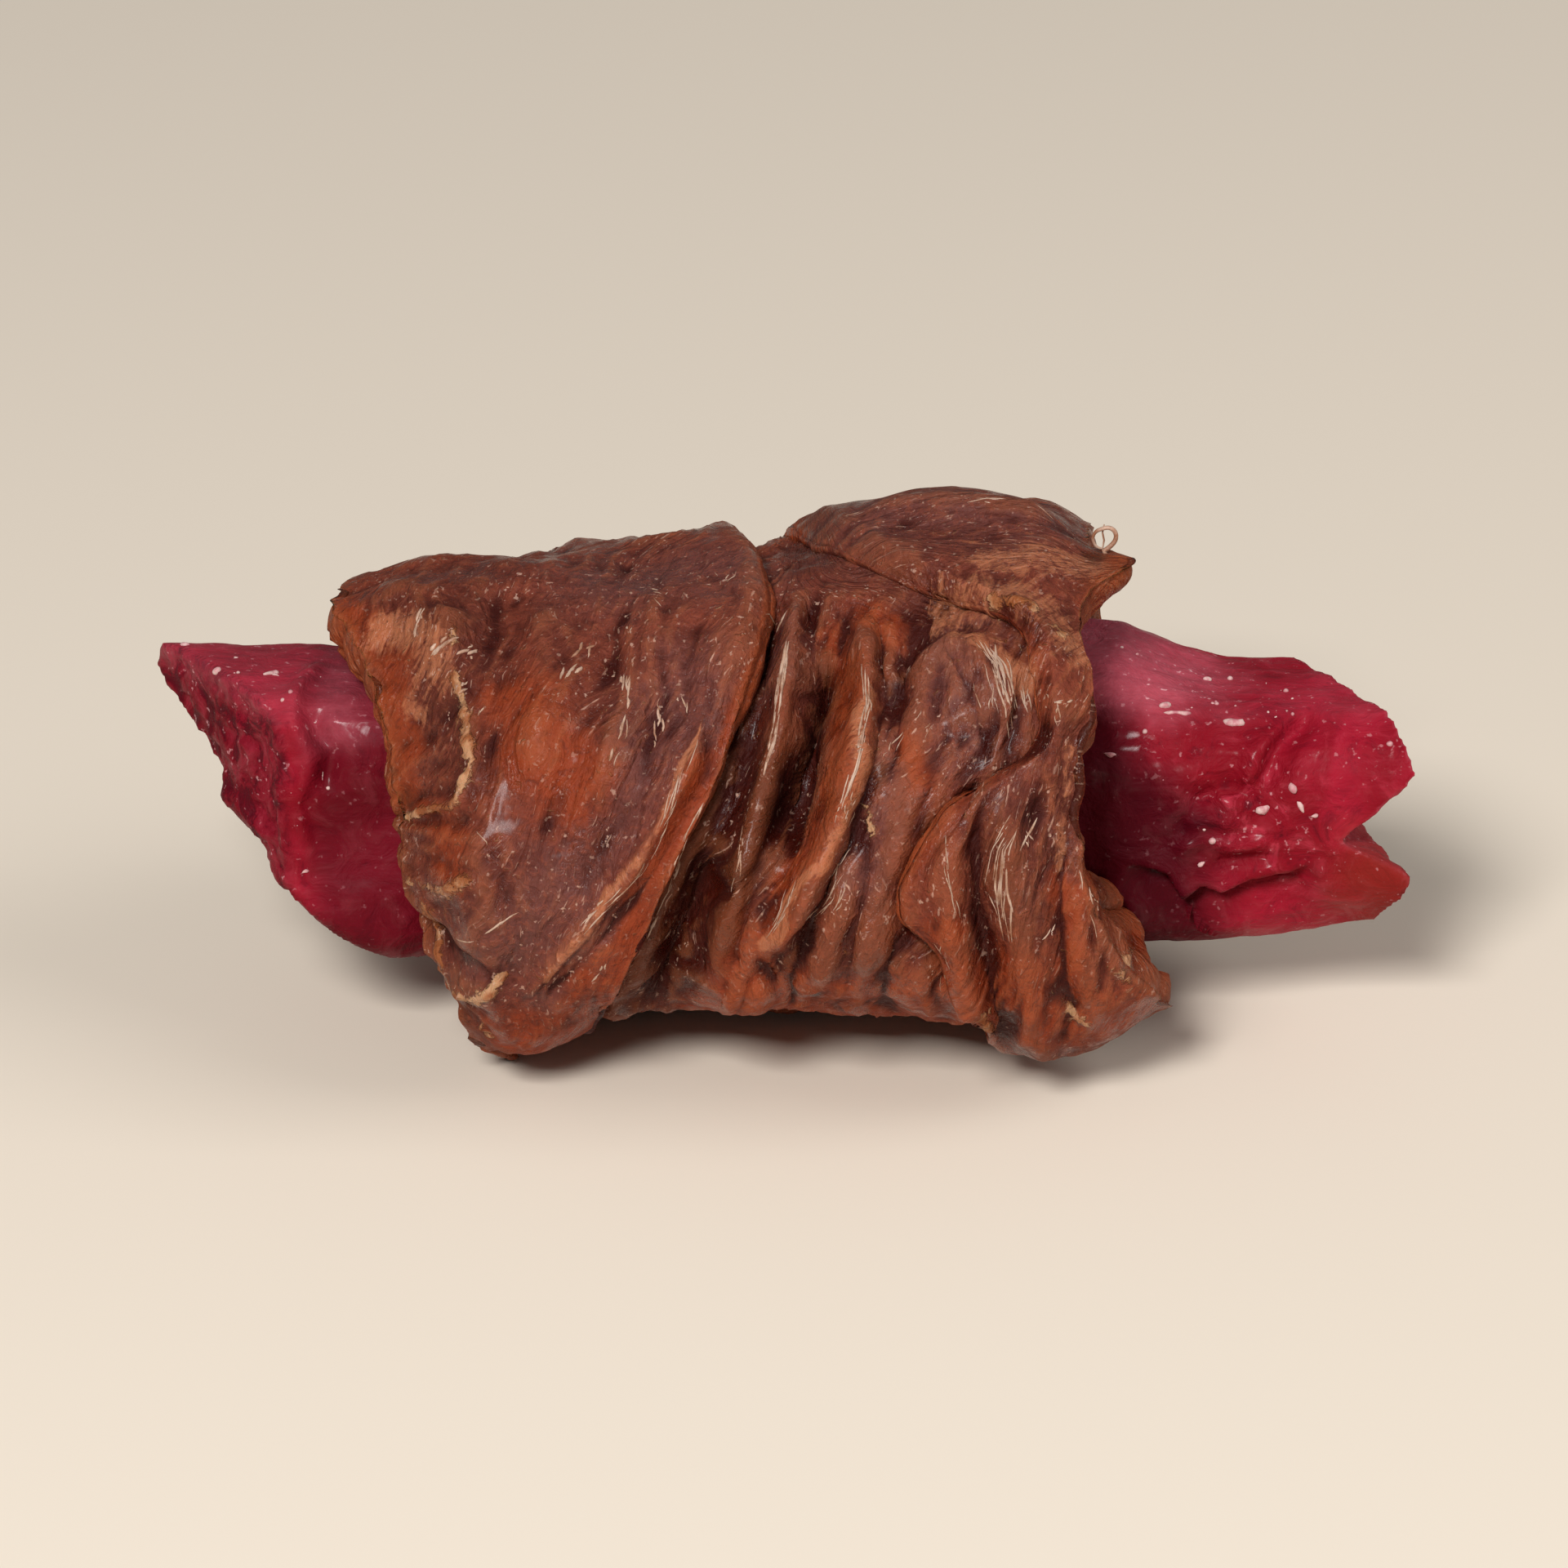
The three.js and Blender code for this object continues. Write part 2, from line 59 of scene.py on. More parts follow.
# How far the stick bulges below beside the wrap, and at its left cut
STICK_DROOP = 0.75
CUT_BULGE = 0.45

# Right of this place the stick is bare, so that it may bulge
BARE_FROM = 12.5

# The strip of duck meat: its bore, its layers, the bulk of the roll and where its foot is drawn in
BORE_GAP = 0.35
BORE_TIGHTER = 0.22
LAYER = 1.5
THINNEST = 1.1
BULK_Y = -0.8
BULK_LEFT = {"x": -12, "half_depth": 12.4, "half_height": 10.2}
BULK_RIGHT = {"x": 9, "half_depth": 13.0, "half_height": 11.3}
SINK = 0.75
FOOT = [(-120, 0), (-88, 0), (-77, 0.3), (-66, 1), (-52, 1.25), (-34, 0.5), (-12, 0), (90, 0), (200, 0)]

# Edges of the strip, as turns round the stick and places along X
LEFT_RIM = [
    (-60, -11.2), (-34, -12.6), (-14, -13.6), (12, -14.5), (40, -15.1), (60, -16.2), (80, -17.6),
    (100, -17.4), (125, -16.6), (165, -16), (210, -15.4), (260, -12.2),
]
RIGHT_RIM = [
    (-90, 12), (-60, 12.9), (-42, 14.8), (-27, 16), (-8, 14.6), (6, 13.5), (20, 12.9), (40, 13.4),
    (60, 13.1), (93, 13), (110, 13.2), (130, 13.2), (165, 13.2), (200, 14.2), (240, 13),
]
LEFT_LAP = [
    (-95, -9), (-60, -8.3), (-35, -6.9), (-17, -5.7), (0, -4.3), (17, -2.6), (32, -1.1), (50, 0),
    (70, 0.5), (90, 0.1), (140, -1.8), (200, -3.6), (235, -6.2),
]
RIGHT_LAP = [
    (-95, 8), (-60, 8.6), (-26, 9), (-14, 7.8), (-4, 7.2), (2, 6.1), (8, 5.7), (14, 6.2), (20, 7.1),
    (25, 8.1), (29, 9.5), (34, 11), (42, 11.4), (50, 11.2), (57, 10.5), (63, 9), (70, 6.8), (78, 4.6),
    (90, 2.9), (110, 1.4), (140, 0.2), (200, -1.4), (235, 2.4),
]

# How far each lapped edge stands above the layer below, and how wide its bevel is
LEFT_LAP_HEIGHT = [
    (-60, 1.6), (-10, 2.2), (20, 2.1), (45, 1.7), (70, 1.3), (95, 0.8), (150, 0.6), (230, 0.9),
]
RIGHT_LAP_HEIGHT = [
    (-60, 1.6), (0, 1.6), (22, 1.5), (35, 0.9), (50, 0.75), (62, 0.45), (75, 0.35), (95, 0.35),
    (170, 0.6), (230, 0.9),
]
LEFT_BEVEL = [(-40, 2.6), (0, 2.3), (17, 1.8), (32, 1.3), (60, 0.8), (150, 0.9), (230, 1.4)]
RIGHT_BEVEL = [(-40, 0.8), (10, 1.2), (30, 0.8), (60, 0.9), (100, 1.2), (220, 1.2)]
BEVEL_DROP = 0.9
LIP_NOSE = 0.5

# At a rim the strip thins to an edge of this thickness, over this width
LEFT_RIM_THICKNESS = [
    (-50, 4.2), (-10, 2.6), (40, 1.9), (62, 2.2), (82, 2.9), (110, 2.5), (170, 2.2), (240, 3.4),
]
LEFT_RIM_WIDTH = [(-50, 1.8), (-10, 3.4), (40, 4.4), (80, 3.8), (110, 4.6), (170, 4.4), (240, 2.4)]
RIGHT_RIM_DROP = 1.2
RIGHT_RIM_WIDTH = 2.4
RIGHT_FLARE = [
    (-60, 0.3), (-36, 0.6), (-20, 0.7), (-4, 0.4), (20, 0.2), (50, 0.2), (68, 0.4), (77, 2.2),
    (84, 1.9), (93, 0.4), (180, 0.3),
]

# Folds of the meat: a path of (X, turn) points, the height, and the width to both sides of the path,
# or the widths to its left and right
FLOOR_FOLDS = [
    ([(0.7, 72), (0.4, 48), (-0.5, 30), (-1.9, 15), (-5.4, -40)], -0.9, 0.7),
    ([(-1.2, 16), (-2.8, -2), (-4.4, -34)], -1.5, 1.1, 1),
    ([(1.6, 78), (1.3, 56), (0.9, 40), (0.1, 22), (-0.8, 8), (-1.9, -12)], 1.1, 0.38, 0.42),
    ([(3, 56), (2.6, 44), (2, 31), (0.9, 14)], -2.2, 0.65, 0.6),
    ([(4.2, 68), (4.5, 48), (4.1, 32), (3.2, 19), (1.7, 6), (-0.2, -8)], 1.35, 0.6, 0.42),
    ([(5.6, 52), (5.2, 36), (4, 19), (2.4, 2)], -0.35, 0.5),
    ([(5.8, 42), (4.6, 22), (3.2, 2), (1.8, -20)], 0.6, 0.6, 0.5),
    ([(7, 58), (6.4, 36), (5.2, 12), (4.4, -12)], 0.45, 0.6),
    ([(8.2, 60), (9.4, 38)], 0.7, 1.5, 1.4),
    ([(0.2, -10), (-1, -46)], 0.45, 0.6, 0.5),
    ([(3.4, -8), (3, -46)], 0.4, 0.6),
    ([(5.9, -4), (6, -46)], 0.4, 0.6),
]
PANEL_FOLDS = [
    ([(7.9, 22), (7.7, 8), (8.2, -10), (8.6, -40)], 0.5, 0.5),
    ([(8.9, 24), (9, 6), (9.5, -14), (10, -40)], -0.9, 0.5, 0.7),
    ([(10.3, 26), (10.4, 8), (11, -14), (11.6, -40)], 0.45, 0.5, 0.6),
    ([(12.1, 22), (12.2, 2), (12.9, -22)], -0.6, 0.6, 0.5),
    ([(7.8, 67), (9.9, 62), (11.9, 54), (12.3, 34), (11.2, 26)], 0.35, 0.6, 0.9),
    ([(-12.4, 70), (-12.6, 52), (-12.2, 44)], 0.6, 1.1, 0.8),
    ([(-10.6, 80), (-10.6, 60), (-10.2, 42), (-10.4, 28)], -0.35, 0.8, 1.2),
    ([(-8.8, 72), (-8.4, 50), (-9.2, 28)], 0.4, 0.8, 0.9),
    ([(-2, 70), (-2.9, 46), (-4.8, 26), (-7.4, 6)], -0.5, 0.9, 0.7),
    ([(-5.4, 76), (-5.6, 54), (-7.2, 30), (-9.6, 8)], -0.35, 0.7, 0.8),
    ([(-12.2, 52), (-11.6, 42), (-11.4, 33), (-12.1, 25), (-14.3, 22)], 0.4, 0.5, 0.35),
    ([(-13.9, 5), (-12.8, 9), (-11.4, 10)], 0.45, 0.5),
    ([(-13.2, -8), (-12, -12), (-10.8, -8)], 0.45, 0.5),
    ([(4.5, 88), (12, 80)], -0.2, 0.9),
    ([(3.6, 98), (12.8, 90)], 0.4, 0.8),
    ([(3, 122), (12.5, 108)], -0.4, 0.9),
    ([(2, 150), (11, 126)], 0.4, 1),
    ([(-3, 110), (-9, 160)], -0.5, 0.9),
    ([(-7, 116), (-13, 170)], 0.5, 1.2),
    ([(2, 200), (11, 178)], -0.6, 0.9),
    ([(5, 230), (12, 200)], 0.5, 1.2),
    ([(-5, 190), (-12, 235)], -0.5, 1),
]

# Millimetres per degree of turn, for paths, then the radius at which noise and fibres are laid out,
# and the turn past which the right side's fibres run along the stick
ARC = math.radians(11)
MEAT_RADIUS = 12
MEAT_ARC = math.radians(MEAT_RADIUS)
SWAP_TURN = 77

# Finer folds, which only the dressed wrap has
FINE_FOLDS = [
    ([(1.9, 66), (1.7, 44), (1.1, 26)], 0.3, 0.22),
    ([(5.3, 66), (5.4, 46), (4.7, 28)], 0.3, 0.25),
    ([(6.3, 62), (6, 40), (5.3, 24)], -0.3, 0.25, 0.22),
    ([(0.4, 6), (-1.2, -20), (-1.8, -40)], 0.32, 0.25),
    ([(2.6, 8), (1.4, -12), (0.8, -40)], -0.35, 0.25),
    ([(4.8, 6), (4, -14), (3.9, -40)], 0.3, 0.25),
    ([(5.5, 2), (5, -20), (5, -44)], -0.3, 0.22),
    ([(6.6, -6), (6.9, -40)], 0.3, 0.25),
    ([(-2.6, -4), (-3.6, -24), (-4.4, -44)], 0.3, 0.25, 0.3),
    ([(8.4, 56), (9.8, 46), (10.4, 36)], 0.22, 0.2),
    ([(7.6, 56), (8.8, 44), (9.3, 33)], -0.22, 0.2),
    ([(6.8, 30), (6, 20), (5.4, 10)], 0.28, 0.22),
    ([(4.4, 62), (4.8, 46), (4.4, 31), (3.5, 19), (2, 6), (0.3, -6)], 0.55, 0.34, 0.15),
    ([(1.8, 70), (1.5, 52), (1.1, 38), (0.3, 22)], 0.3, 0.3, 0.16),
]
FINE_PANEL_FOLDS = [
    ([(-1.9, 44), (-2.2, 32), (-3.4, 22), (-5.2, 10), (-7.6, -2), (-9.6, -16)], 0.42, 0.45, 0.15),
    ([(-1.5, 40), (-1.9, 30), (-3, 20), (-4.7, 8), (-7, -4), (-8.9, -18)], -0.22, 0.2, 0.35),
    ([(8.3, 64), (9.6, 60), (11, 53), (11.6, 45)], 0.22, 0.3),
    ([(8.9, 59), (10.1, 54), (10.8, 47)], -0.2, 0.2, 0.3),
    ([(11.6, 33), (12.2, 22), (12, 8)], 0.2, 0.4, 0.3),
    ([(13.2, 14), (13.8, 2), (14.8, -12)], 0.22, 0.25),
    ([(-10.8, 20), (-9.6, 4), (-10.4, -14)], -0.2, 0.5, 0.4),
    ([(-8, 66), (-7.2, 54), (-7.8, 42)], 0.16, 0.3),
    ([(-5.3, 66), (-5, 48), (-6.2, 28)], 0.2, 0.3),
    ([(-3.8, 60), (-3.6, 44), (-4.6, 28)], -0.2, 0.3),
]

# Colour patches of the meat: paths, the distances over which they fade, and strengths under 1
ORANGE_PATCHES = [
    ([(-9.8, 44), (-7.4, 28)], 1.7),
    ([(-14.9, 58), (-14.2, 26)], 1.1),
    ([(-17.4, 84), (-16.4, 72), (-15.6, 62)], 0.9),
    ([(-13, 22), (-12, 12)], 0.9),
    ([(-10.2, -24), (-8, -38)], 1.6),
    ([(-1.7, 32), (-2.9, 19), (-4.7, 5), (-6.6, -8), (-8.2, -22)], 0.55),
    ([(3.4, 62), (3.9, 40), (2.6, 20), (0.2, -6)], 0.75),
    ([(-1.6, 0), (-0.2, -16), (5.8, -18)], 1.8),
    ([(-3, -30), (6, -34)], 2.4),
    ([(-4, -46), (7, -50)], 3.2),
    ([(7.6, 2), (8, -14), (8.6, -34)], 0.8),
    ([(10.4, -12), (14, -22)], 2.2),
    ([(12.6, 8), (12.8, -6)], 0.8),
    ([(4.6, 66), (5.6, 60)], 0.9),
    ([(14.2, 70), (15, 78), (15.2, 88)], 1.5),
    ([(6, 34), (6.6, 28)], 0.6),
]
PURPLE_PATCHES = [
    ([(-2.6, 50), (-4.4, 28), (-7.4, 10), (-10.4, -4)], 2.1),
    ([(-8.6, -14), (-11, -20)], 1),
    ([(7.6, 56), (8.6, 38)], 2),
    ([(5.4, 34), (4.4, 12)], 1.1),
    ([(-6, 80), (-1, 84)], 3),
    ([(4, 100), (11, 96)], 4),
    ([(1.6, 64), (1.2, 50)], 0.9),
]
PALE_PATCHES = [
    ([(7.6, 65), (9.4, 65), (11, 63.5), (12.2, 60), (12.9, 54)], 1.1),
    ([(8, 60), (9.8, 54), (10.8, 47)], 0.6),
    ([(-15.4, 68), (-13.9, 62), (-12.8, 54)], 1.2, 0.9),
    ([(-14.4, 52), (-13.6, 46)], 0.6, 0.7),
    # These two thin pale lines, along the left lapped edge's crease and along the tall fold's crest, are
    # painted highlights.
    ([(-2.2, 38), (-3.4, 22), (-5.2, 10), (-7.6, -2), (-8.6, -10)], 0.17),
    ([(4.6, 46), (4.2, 31), (3.4, 20), (1.9, 9), (0.4, -2)], 0.2),
    ([(12.6, 34), (12.4, 14)], 0.4, 0.6),
    ([(9.4, 74), (11.6, 75), (13.4, 76)], 1.2),
]

# The deepest hollows between the folds, where shade is painted into the meat's colour
SHADED_HOLLOWS = [
    ([(2.9, 53), (2.5, 42), (1.8, 30)], 0.7),
    ([(6.7, 20), (7, 8), (7.2, -4)], 0.7),
]

# Bundles of pale threads, partly sinew and partly painted highlights standing for glints on wet fibres:
# path, number of threads, spread, longest thread, thickness
SINEW_AND_GLINT_THREADS = [
    ([(-14.1, 62), (-13.4, 71)], 6, 0.14, 1, 0.16), ([(-13.2, 56), (-12.2, 60)], 7, 0.18, 0.8, 0.19),
    ([(-11.9, 55), (-11.2, 59)], 5, 0.14, 0.7, 0.17), ([(-12.2, 46), (-11.5, 51)], 6, 0.16, 0.7, 0.15),
    ([(-11.1, 42), (-10.8, 45)], 2, 0.08, 0.4, 0.1), ([(-7.6, 48), (-6.8, 60)], 9, 0.22, 1, 0.15),
    ([(-5.1, 50), (-5.2, 37), (-5.9, 30)], 11, 0.1, 1.2, 0.13),
    ([(-3.9, 46), (-3.7, 34)], 6, 0.12, 1, 0.12), ([(-3, 46), (-2.8, 41)], 3, 0.1, 0.6, 0.08),
    ([(-5.1, 59), (-5, 64)], 2, 0.08, 0.6, 0.08),
    ([(-11.1, 20), (-10.7, 18), (-10.4, 14)], 2, 0.03, 0.9, 0.07),
    ([(-12.3, -3), (-10.3, 3), (-9.2, 6)], 3, 0.05, 2, 0.09),
    ([(-7.1, 3), (-6, 8)], 4, 0.08, 0.9, 0.09), ([(-6.8, -11), (-5.9, -5)], 4, 0.12, 0.8, 0.09),
    ([(-1.9, 25), (-2.6, 19), (-3.5, 7), (-4.6, -5)], 12, 0.08, 2.2, 0.08),
    ([(-2.2, 38), (-3.2, 23), (-4.6, 12), (-7.8, -2)], 16, 0.1, 2.4, 0.07),
    ([(1.3, 60), (1.1, 48), (0.8, 36), (0.3, 28)], 12, 0.08, 2.8, 0.13),
    ([(0.4, 64), (1.1, 69)], 4, 0.15, 0.8, 0.08), ([(-0.2, 22), (-1, 8)], 4, 0.1, 1.6, 0.08),
    ([(1.9, 16), (1.2, 6), (0.1, -3)], 7, 0.08, 2, 0.07),
    ([(4.5, 54), (4.6, 42), (4.2, 31), (3.5, 21)], 14, 0.1, 2.4, 0.11),
    ([(4.1, 27), (3.8, 20)], 6, 0.18, 0.7, 0.1), ([(3.9, 17), (3.1, 8), (2.1, 2)], 12, 0.26, 1.6, 0.07),
    ([(5.2, 32), (6, 40)], 4, 0.2, 0.8, 0.06), ([(6.4, 34), (6.9, 44)], 3, 0.18, 0.9, 0.06),
    ([(8.6, 59), (9.7, 51), (10.2, 42), (10.4, 34)], 18, 0.3, 3, 0.11),
    ([(9.2, 50), (9.6, 40)], 6, 0.2, 1.4, 0.06),
    ([(11.8, 44), (12.2, 41), (12.7, 42)], 4, 0.08, 0.7, 0.1),
    ([(12.2, 41), (12.2, 36)], 3, 0.08, 0.7, 0.08), ([(10.9, 50), (11.1, 41)], 4, 0.12, 1.2, 0.07),
    ([(7.7, 20), (7.9, 13), (8.2, 5)], 6, 0.1, 1.6, 0.07),
    ([(11, 23), (10.1, 17), (9.9, 10), (10.1, 0)], 18, 0.24, 2.8, 0.11),
    ([(10.9, 20), (11.4, 14)], 4, 0.15, 0.9, 0.08), ([(11.6, 0), (12.3, 3)], 3, 0.2, 0.5, 0.08),
    ([(13.1, 13), (13.6, 5), (14.2, -2)], 7, 0.1, 1.4, 0.08), ([(7.3, 4), (7.5, -15)], 6, 0.2, 1, 0.07),
    ([(3, 99), (10.6, 90)], 9, 0.8, 0.9, 0.06), ([(-1.8, 74), (-1.3, 86)], 4, 0.25, 0.8, 0.07),
    ([(-4.2, 84), (-3.8, 66)], 4, 0.25, 0.8, 0.07), ([(-9, 150), (-6, 190)], 8, 1.6, 1.6, 0.08),
    ([(7, 150), (9, 200)], 8, 1.8, 1.6, 0.08),
]

# Tan scraps of dried fat: paths, widths and strengths
TAN_SCRAPS = [
    ([(-12.1, 50), (-11.6, 42), (-11.4, 33), (-12.1, 25), (-14.3, 22)], 0.24, 1),
    ([(-13.9, 4), (-12.6, 7), (-11.4, 11)], 0.22, 0.9),
    ([(-13.4, 0), (-13.2, -8), (-12.9, -16)], 0.24, 0.8),
    ([(-13.1, -20), (-11.6, -16), (-10.3, -9)], 0.24, 0.9),
    ([(-11.4, -26), (-11.2, -32)], 0.2, 0.7),
    ([(14.4, -6), (15, -12)], 0.28, 0.7),
    ([(12.4, -16), (13, -20)], 0.28, 0.8),
    ([(9.6, 63), (11.2, 60.5), (12.4, 55)], 0.22, 0.8),
    ([(-12.4, 66), (-12.2, 58)], 0.2, 0.6),
    ([(9, -16), (9.2, -24)], 0.22, 0.8),
    ([(4.5, 23), (4.6, 20)], 0.24, 0.9),
]


def smooth(value, low, high):
    """A smooth step from 0 at low to 1 at high."""
    part = np.clip((value - low) / (high - low), 0, 1)
    return part * part * (3 - 2 * part)


def bell(value, width):
    """A smooth hump: 1 at 0, fading over a width to either side."""
    return np.exp(-((value / width) ** 2))


def turned_from(turn, start):
    """How far a turn is past another, from -180 to 180."""
    return np.mod(turn - start + 180, 360) - 180


def mix(a, b, part):
    return a + (b - a) * part


def lattice(cell, seed):
    """A repeatable number from 0 to 1 for each whole-numbered cell."""
    mask = 0xFFFFFFFF
    mixed = cell[..., 0] * 374761393 + cell[..., 1] * 668265263 + cell[..., 2] * 2246822519
    mixed = (mixed + seed * 3266489917) & mask
    mixed = ((mixed ^ (mixed >> 13)) * 1274126177) & mask
    return ((mixed ^ (mixed >> 16)) & 0xFFFF) / 65535


def noise(points, seed=0):
    """Smooth noise from -1 to 1, in cells of size one."""
    cell = np.floor(points).astype(np.int64)
    part = points - cell
    part = part * part * part * (part * (part * 6 - 15) + 10)
    total = 0
    for corner in itertools.product((0, 1), repeat=3):
        weight = 1
        for axis in range(3):
            weight = weight * (part[..., axis] if corner[axis] else 1 - part[..., axis])
        total = total + weight * lattice(cell + np.array(corner), seed)
    return 2 * total - 1


def layered_noise(points, seed=0, layers=3):
    """Noise with finer and fainter layers on it."""
    total = 0
    for layer in range(layers):
        total = total + noise(points * 2**layer, seed + layer) / 2**layer
    return total / 1.6


def ring(knots):
    """A closed smooth curve through (turn, value) knots, as a function of the turn."""
    turns = np.array([turn for turn, _ in knots], float)
    values = np.array([value for _, value in knots], float)
    spans = np.diff(np.append(turns, turns[0] + 360))
    slopes = (np.roll(values, -1) - np.roll(values, 1)) / (spans + np.roll(spans, 1))

    def curve(turn):
        t = turns[0] + np.mod(turn - turns[0], 360)
        i = np.searchsorted(turns, t, side="right") - 1
        j = (i + 1) % len(turns)
        u = (t - turns[i]) / spans[i]
        through = values[i] * (1 + 2 * u) * (1 - u) ** 2 + values[j] * u * u * (3 - 2 * u)
        return through + spans[i] * u * (1 - u) * (slopes[i] * (1 - u) - slopes[j] * u)

    return curve


left_rim_line = ring(LEFT_RIM)
left_lap_height = ring(LEFT_LAP_HEIGHT)
right_lap_height = ring(RIGHT_LAP_HEIGHT)
left_bevel = ring(LEFT_BEVEL)
right_bevel = ring(RIGHT_BEVEL)
left_rim_thickness = ring(LEFT_RIM_THICKNESS)
left_rim_width = ring(LEFT_RIM_WIDTH)
right_flare = ring(RIGHT_FLARE)
drawn_in = ring(FOOT)


def on_circle(turn, radius, x=0.0):
    """A point on a circle round the axis, for noise that closes on itself."""
    a = np.radians(turn)
    x, y, z = np.broadcast_arrays(x, radius * np.cos(a), radius * np.sin(a))
    return np.stack([x, y, z], axis=-1)


def meat_noise(turn, along, size, seed, kind=noise):
    """Noise over the meat, with lumps of one size."""
    return kind(on_circle(turn, MEAT_RADIUS / size, along / size), seed)


def torn(line, seed, depth):
    """An edge with small tears and nicks in it."""

    def curve(turn):
        nicks = layered_noise(on_circle(turn, 7.0), seed, 3)
        return line(turn) + depth * nicks

    return curve


left_rim = torn(left_rim_line, 11, 0.5)
right_rim = torn(ring(RIGHT_RIM), 23, 0.35)
left_lap = torn(ring(LEFT_LAP), 37, 0.16)
right_lap = torn(ring(RIGHT_LAP), 41, 0.18)


def stick_reach(x, turn):
    """How far the stick reaches from its axis."""
    along = (x + STICK_END) / (2 * STICK_END)
    raised = smooth(x, 4, 12) * (1 - smooth(x, *SHOULDER))
    total = 0
    for face_turn, left, right, shoulder in STICK_FACES:
        towards = np.maximum(np.cos(np.radians(turn - face_turn)), 0)
        total = total + (towards / (mix(left, right, along) + shoulder * raised)) ** STICK_CORNER_POWER
    return total ** (-1 / STICK_CORNER_POWER)


def bore_reach(x, turn):
    """The bore follows the stick, and closes on it between the rims."""
    return stick_reach(x, turn) + BORE_GAP - BORE_TIGHTER * (1 - smooth(np.abs(x), 7, 11))


def over_bore(reach, x, turn):
    """A reach, or that of the thinnest meat over the bore where it's less."""
    return np.maximum(reach, bore_reach(x, turn) + THINNEST)


def bulk_reach(x, turn):
    """How far the whole roll reaches: an ellipse that grows from left to right and rests on z = 0."""
    eased = smooth(x, BULK_LEFT["x"], BULK_RIGHT["x"])
    depth = mix(BULK_LEFT["half_depth"], BULK_RIGHT["half_depth"], eased)
    height = mix(BULK_LEFT["half_height"], BULK_RIGHT["half_height"], eased)
    a = np.radians(turn)
    way_y, way_z = -np.cos(a) / depth, np.sin(a) / height
    from_y, from_z = -BULK_Y / depth, (AXIS_Z - height + SINK) / height
    p = way_y**2 + way_z**2
    q = way_y * from_y + way_z * from_z
    s = from_y**2 + from_z**2 - 1
    return (-q + np.sqrt(q * q - p * s)) / p - drawn_in(turn)


def beside(path, x, turn, arc=ARC):
    """How far along a path points lie, from 0 to 1, and how far off it, positive to its right."""
    along = np.zeros(np.broadcast(x, turn).shape)
    off = np.full(along.shape, np.inf)
    walked = 0.0
    for (from_x, from_turn), (to_x, to_turn) in itertools.pairwise(path):
        run_x, run_t = to_x - from_x, (to_turn - from_turn) * arc
        length = math.hypot(run_x, run_t)
        off_x = x - from_x
        off_t = turned_from(turn, from_turn) * arc
        part = np.clip((off_x * run_x + off_t * run_t) / length**2, 0, 1)
        gap = np.hypot(off_x - part * run_x, off_t - part * run_t)
        side = np.where(off_t * run_x - off_x * run_t < 0, -1.0, 1.0)
        nearer = gap < np.abs(off)
        along = np.where(nearer, walked + part * length, along)
        off = np.where(nearer, side * gap, off)
        walked += length
    return along / walked, off


def fold_height(folds, x, turn, arc=ARC):
    total = 0
    for path, height, left, *other in folds:
        right = other[0] if other else left
        along, off = beside(path, x, turn, arc)
        fade = smooth(along, -0.02, 0.16) * (1 - smooth(along, 0.8, 1.02))
        total = total + height * fade * bell(off, np.where(off < 0, left, right))
    return total


def ripple(x, turn):
    """Slow swells of the meat, in whole waves round the stick."""
    a = np.radians(turn)
    waves = 0.3 * np.sin(3 * a + 0.25 * x + 0.8) + 0.2 * np.sin(5 * a - 0.42 * x + 2.1)
    return waves + 0.16 * np.sin(9 * a + 0.6 * x)


def panel_reach(x, turn):
    """The outer layer's top, bevelled at its lapped edges and drawn in towards the stick at its rims."""
    folds = fold_height(PANEL_FOLDS, x, turn) + fold_height(FINE_PANEL_FOLDS, x, turn)
    full = bulk_reach(x, turn) + folds + ripple(x, turn)
    on_left = x < 0.5 * (left_lap(turn) + right_lap(turn))
    from_lap = np.where(on_left, left_lap(turn) - x, x - right_lap(turn))
    bevel = np.where(on_left, left_bevel(turn), right_bevel(turn))
    top = full - BEVEL_DROP * (1 - np.clip(from_lap / bevel, 0, 1)) ** 1.2
    left_edge = bore_reach(x, turn) + left_rim_thickness(turn)
    right_edge = np.maximum(bore_reach(x, turn) + 2.6, top - RIGHT_RIM_DROP)
    grown = mix(left_edge, top, smooth(x - left_rim(turn), -0.8, left_rim_width(turn)))
    made = mix(right_edge, grown, smooth(right_rim(turn) - x, -0.6, RIGHT_RIM_WIDTH))
    return over_bore(made, x, turn)


def floor_reach(x, turn):
    """The lapped layer's top, without its folds."""
    return bulk_reach(x, turn) - LAYER + ripple(x, turn)


def lip(edge, open_side, top, floor, steps, undercut=0.0, flare=0.0):
    """A rounded edge from the top of a layer to what lies under it."""
    half = (top - floor) / 2
    nose = np.minimum(0.7 * half, LIP_NOSE)
    a = np.pi * (0.5 - np.arange(steps + 1) / steps)[None, :]
    under = ((1 - np.sin(a)) / 2) ** 2
    inward = undercut * half * under + flare * np.minimum(1, 4 * under)
    x = edge + open_side * (nose * (np.cos(a) - 1) - inward)
    return x, floor + half * (1 + np.sin(a))


# The layers of the strip at the roll's ends: a groove between them that winds inwards as a spiral
LAYER_PITCH = 2.3
GROOVE_DEPTH = 0.9
GROOVE_WIDTH = 0.28
INSET = 0.8

# Steps of the wrap's grid: degrees from row to row, and points in each region of a row
FRONT_STEP = 1.0
REST_STEP = 1.75
FLOOR_STEPS = 90
LEFT_STEPS = 110
RIGHT_STEPS = 62
LIP_STEPS = 9
RIM_STEPS = 26
BORE_STEPS = 12


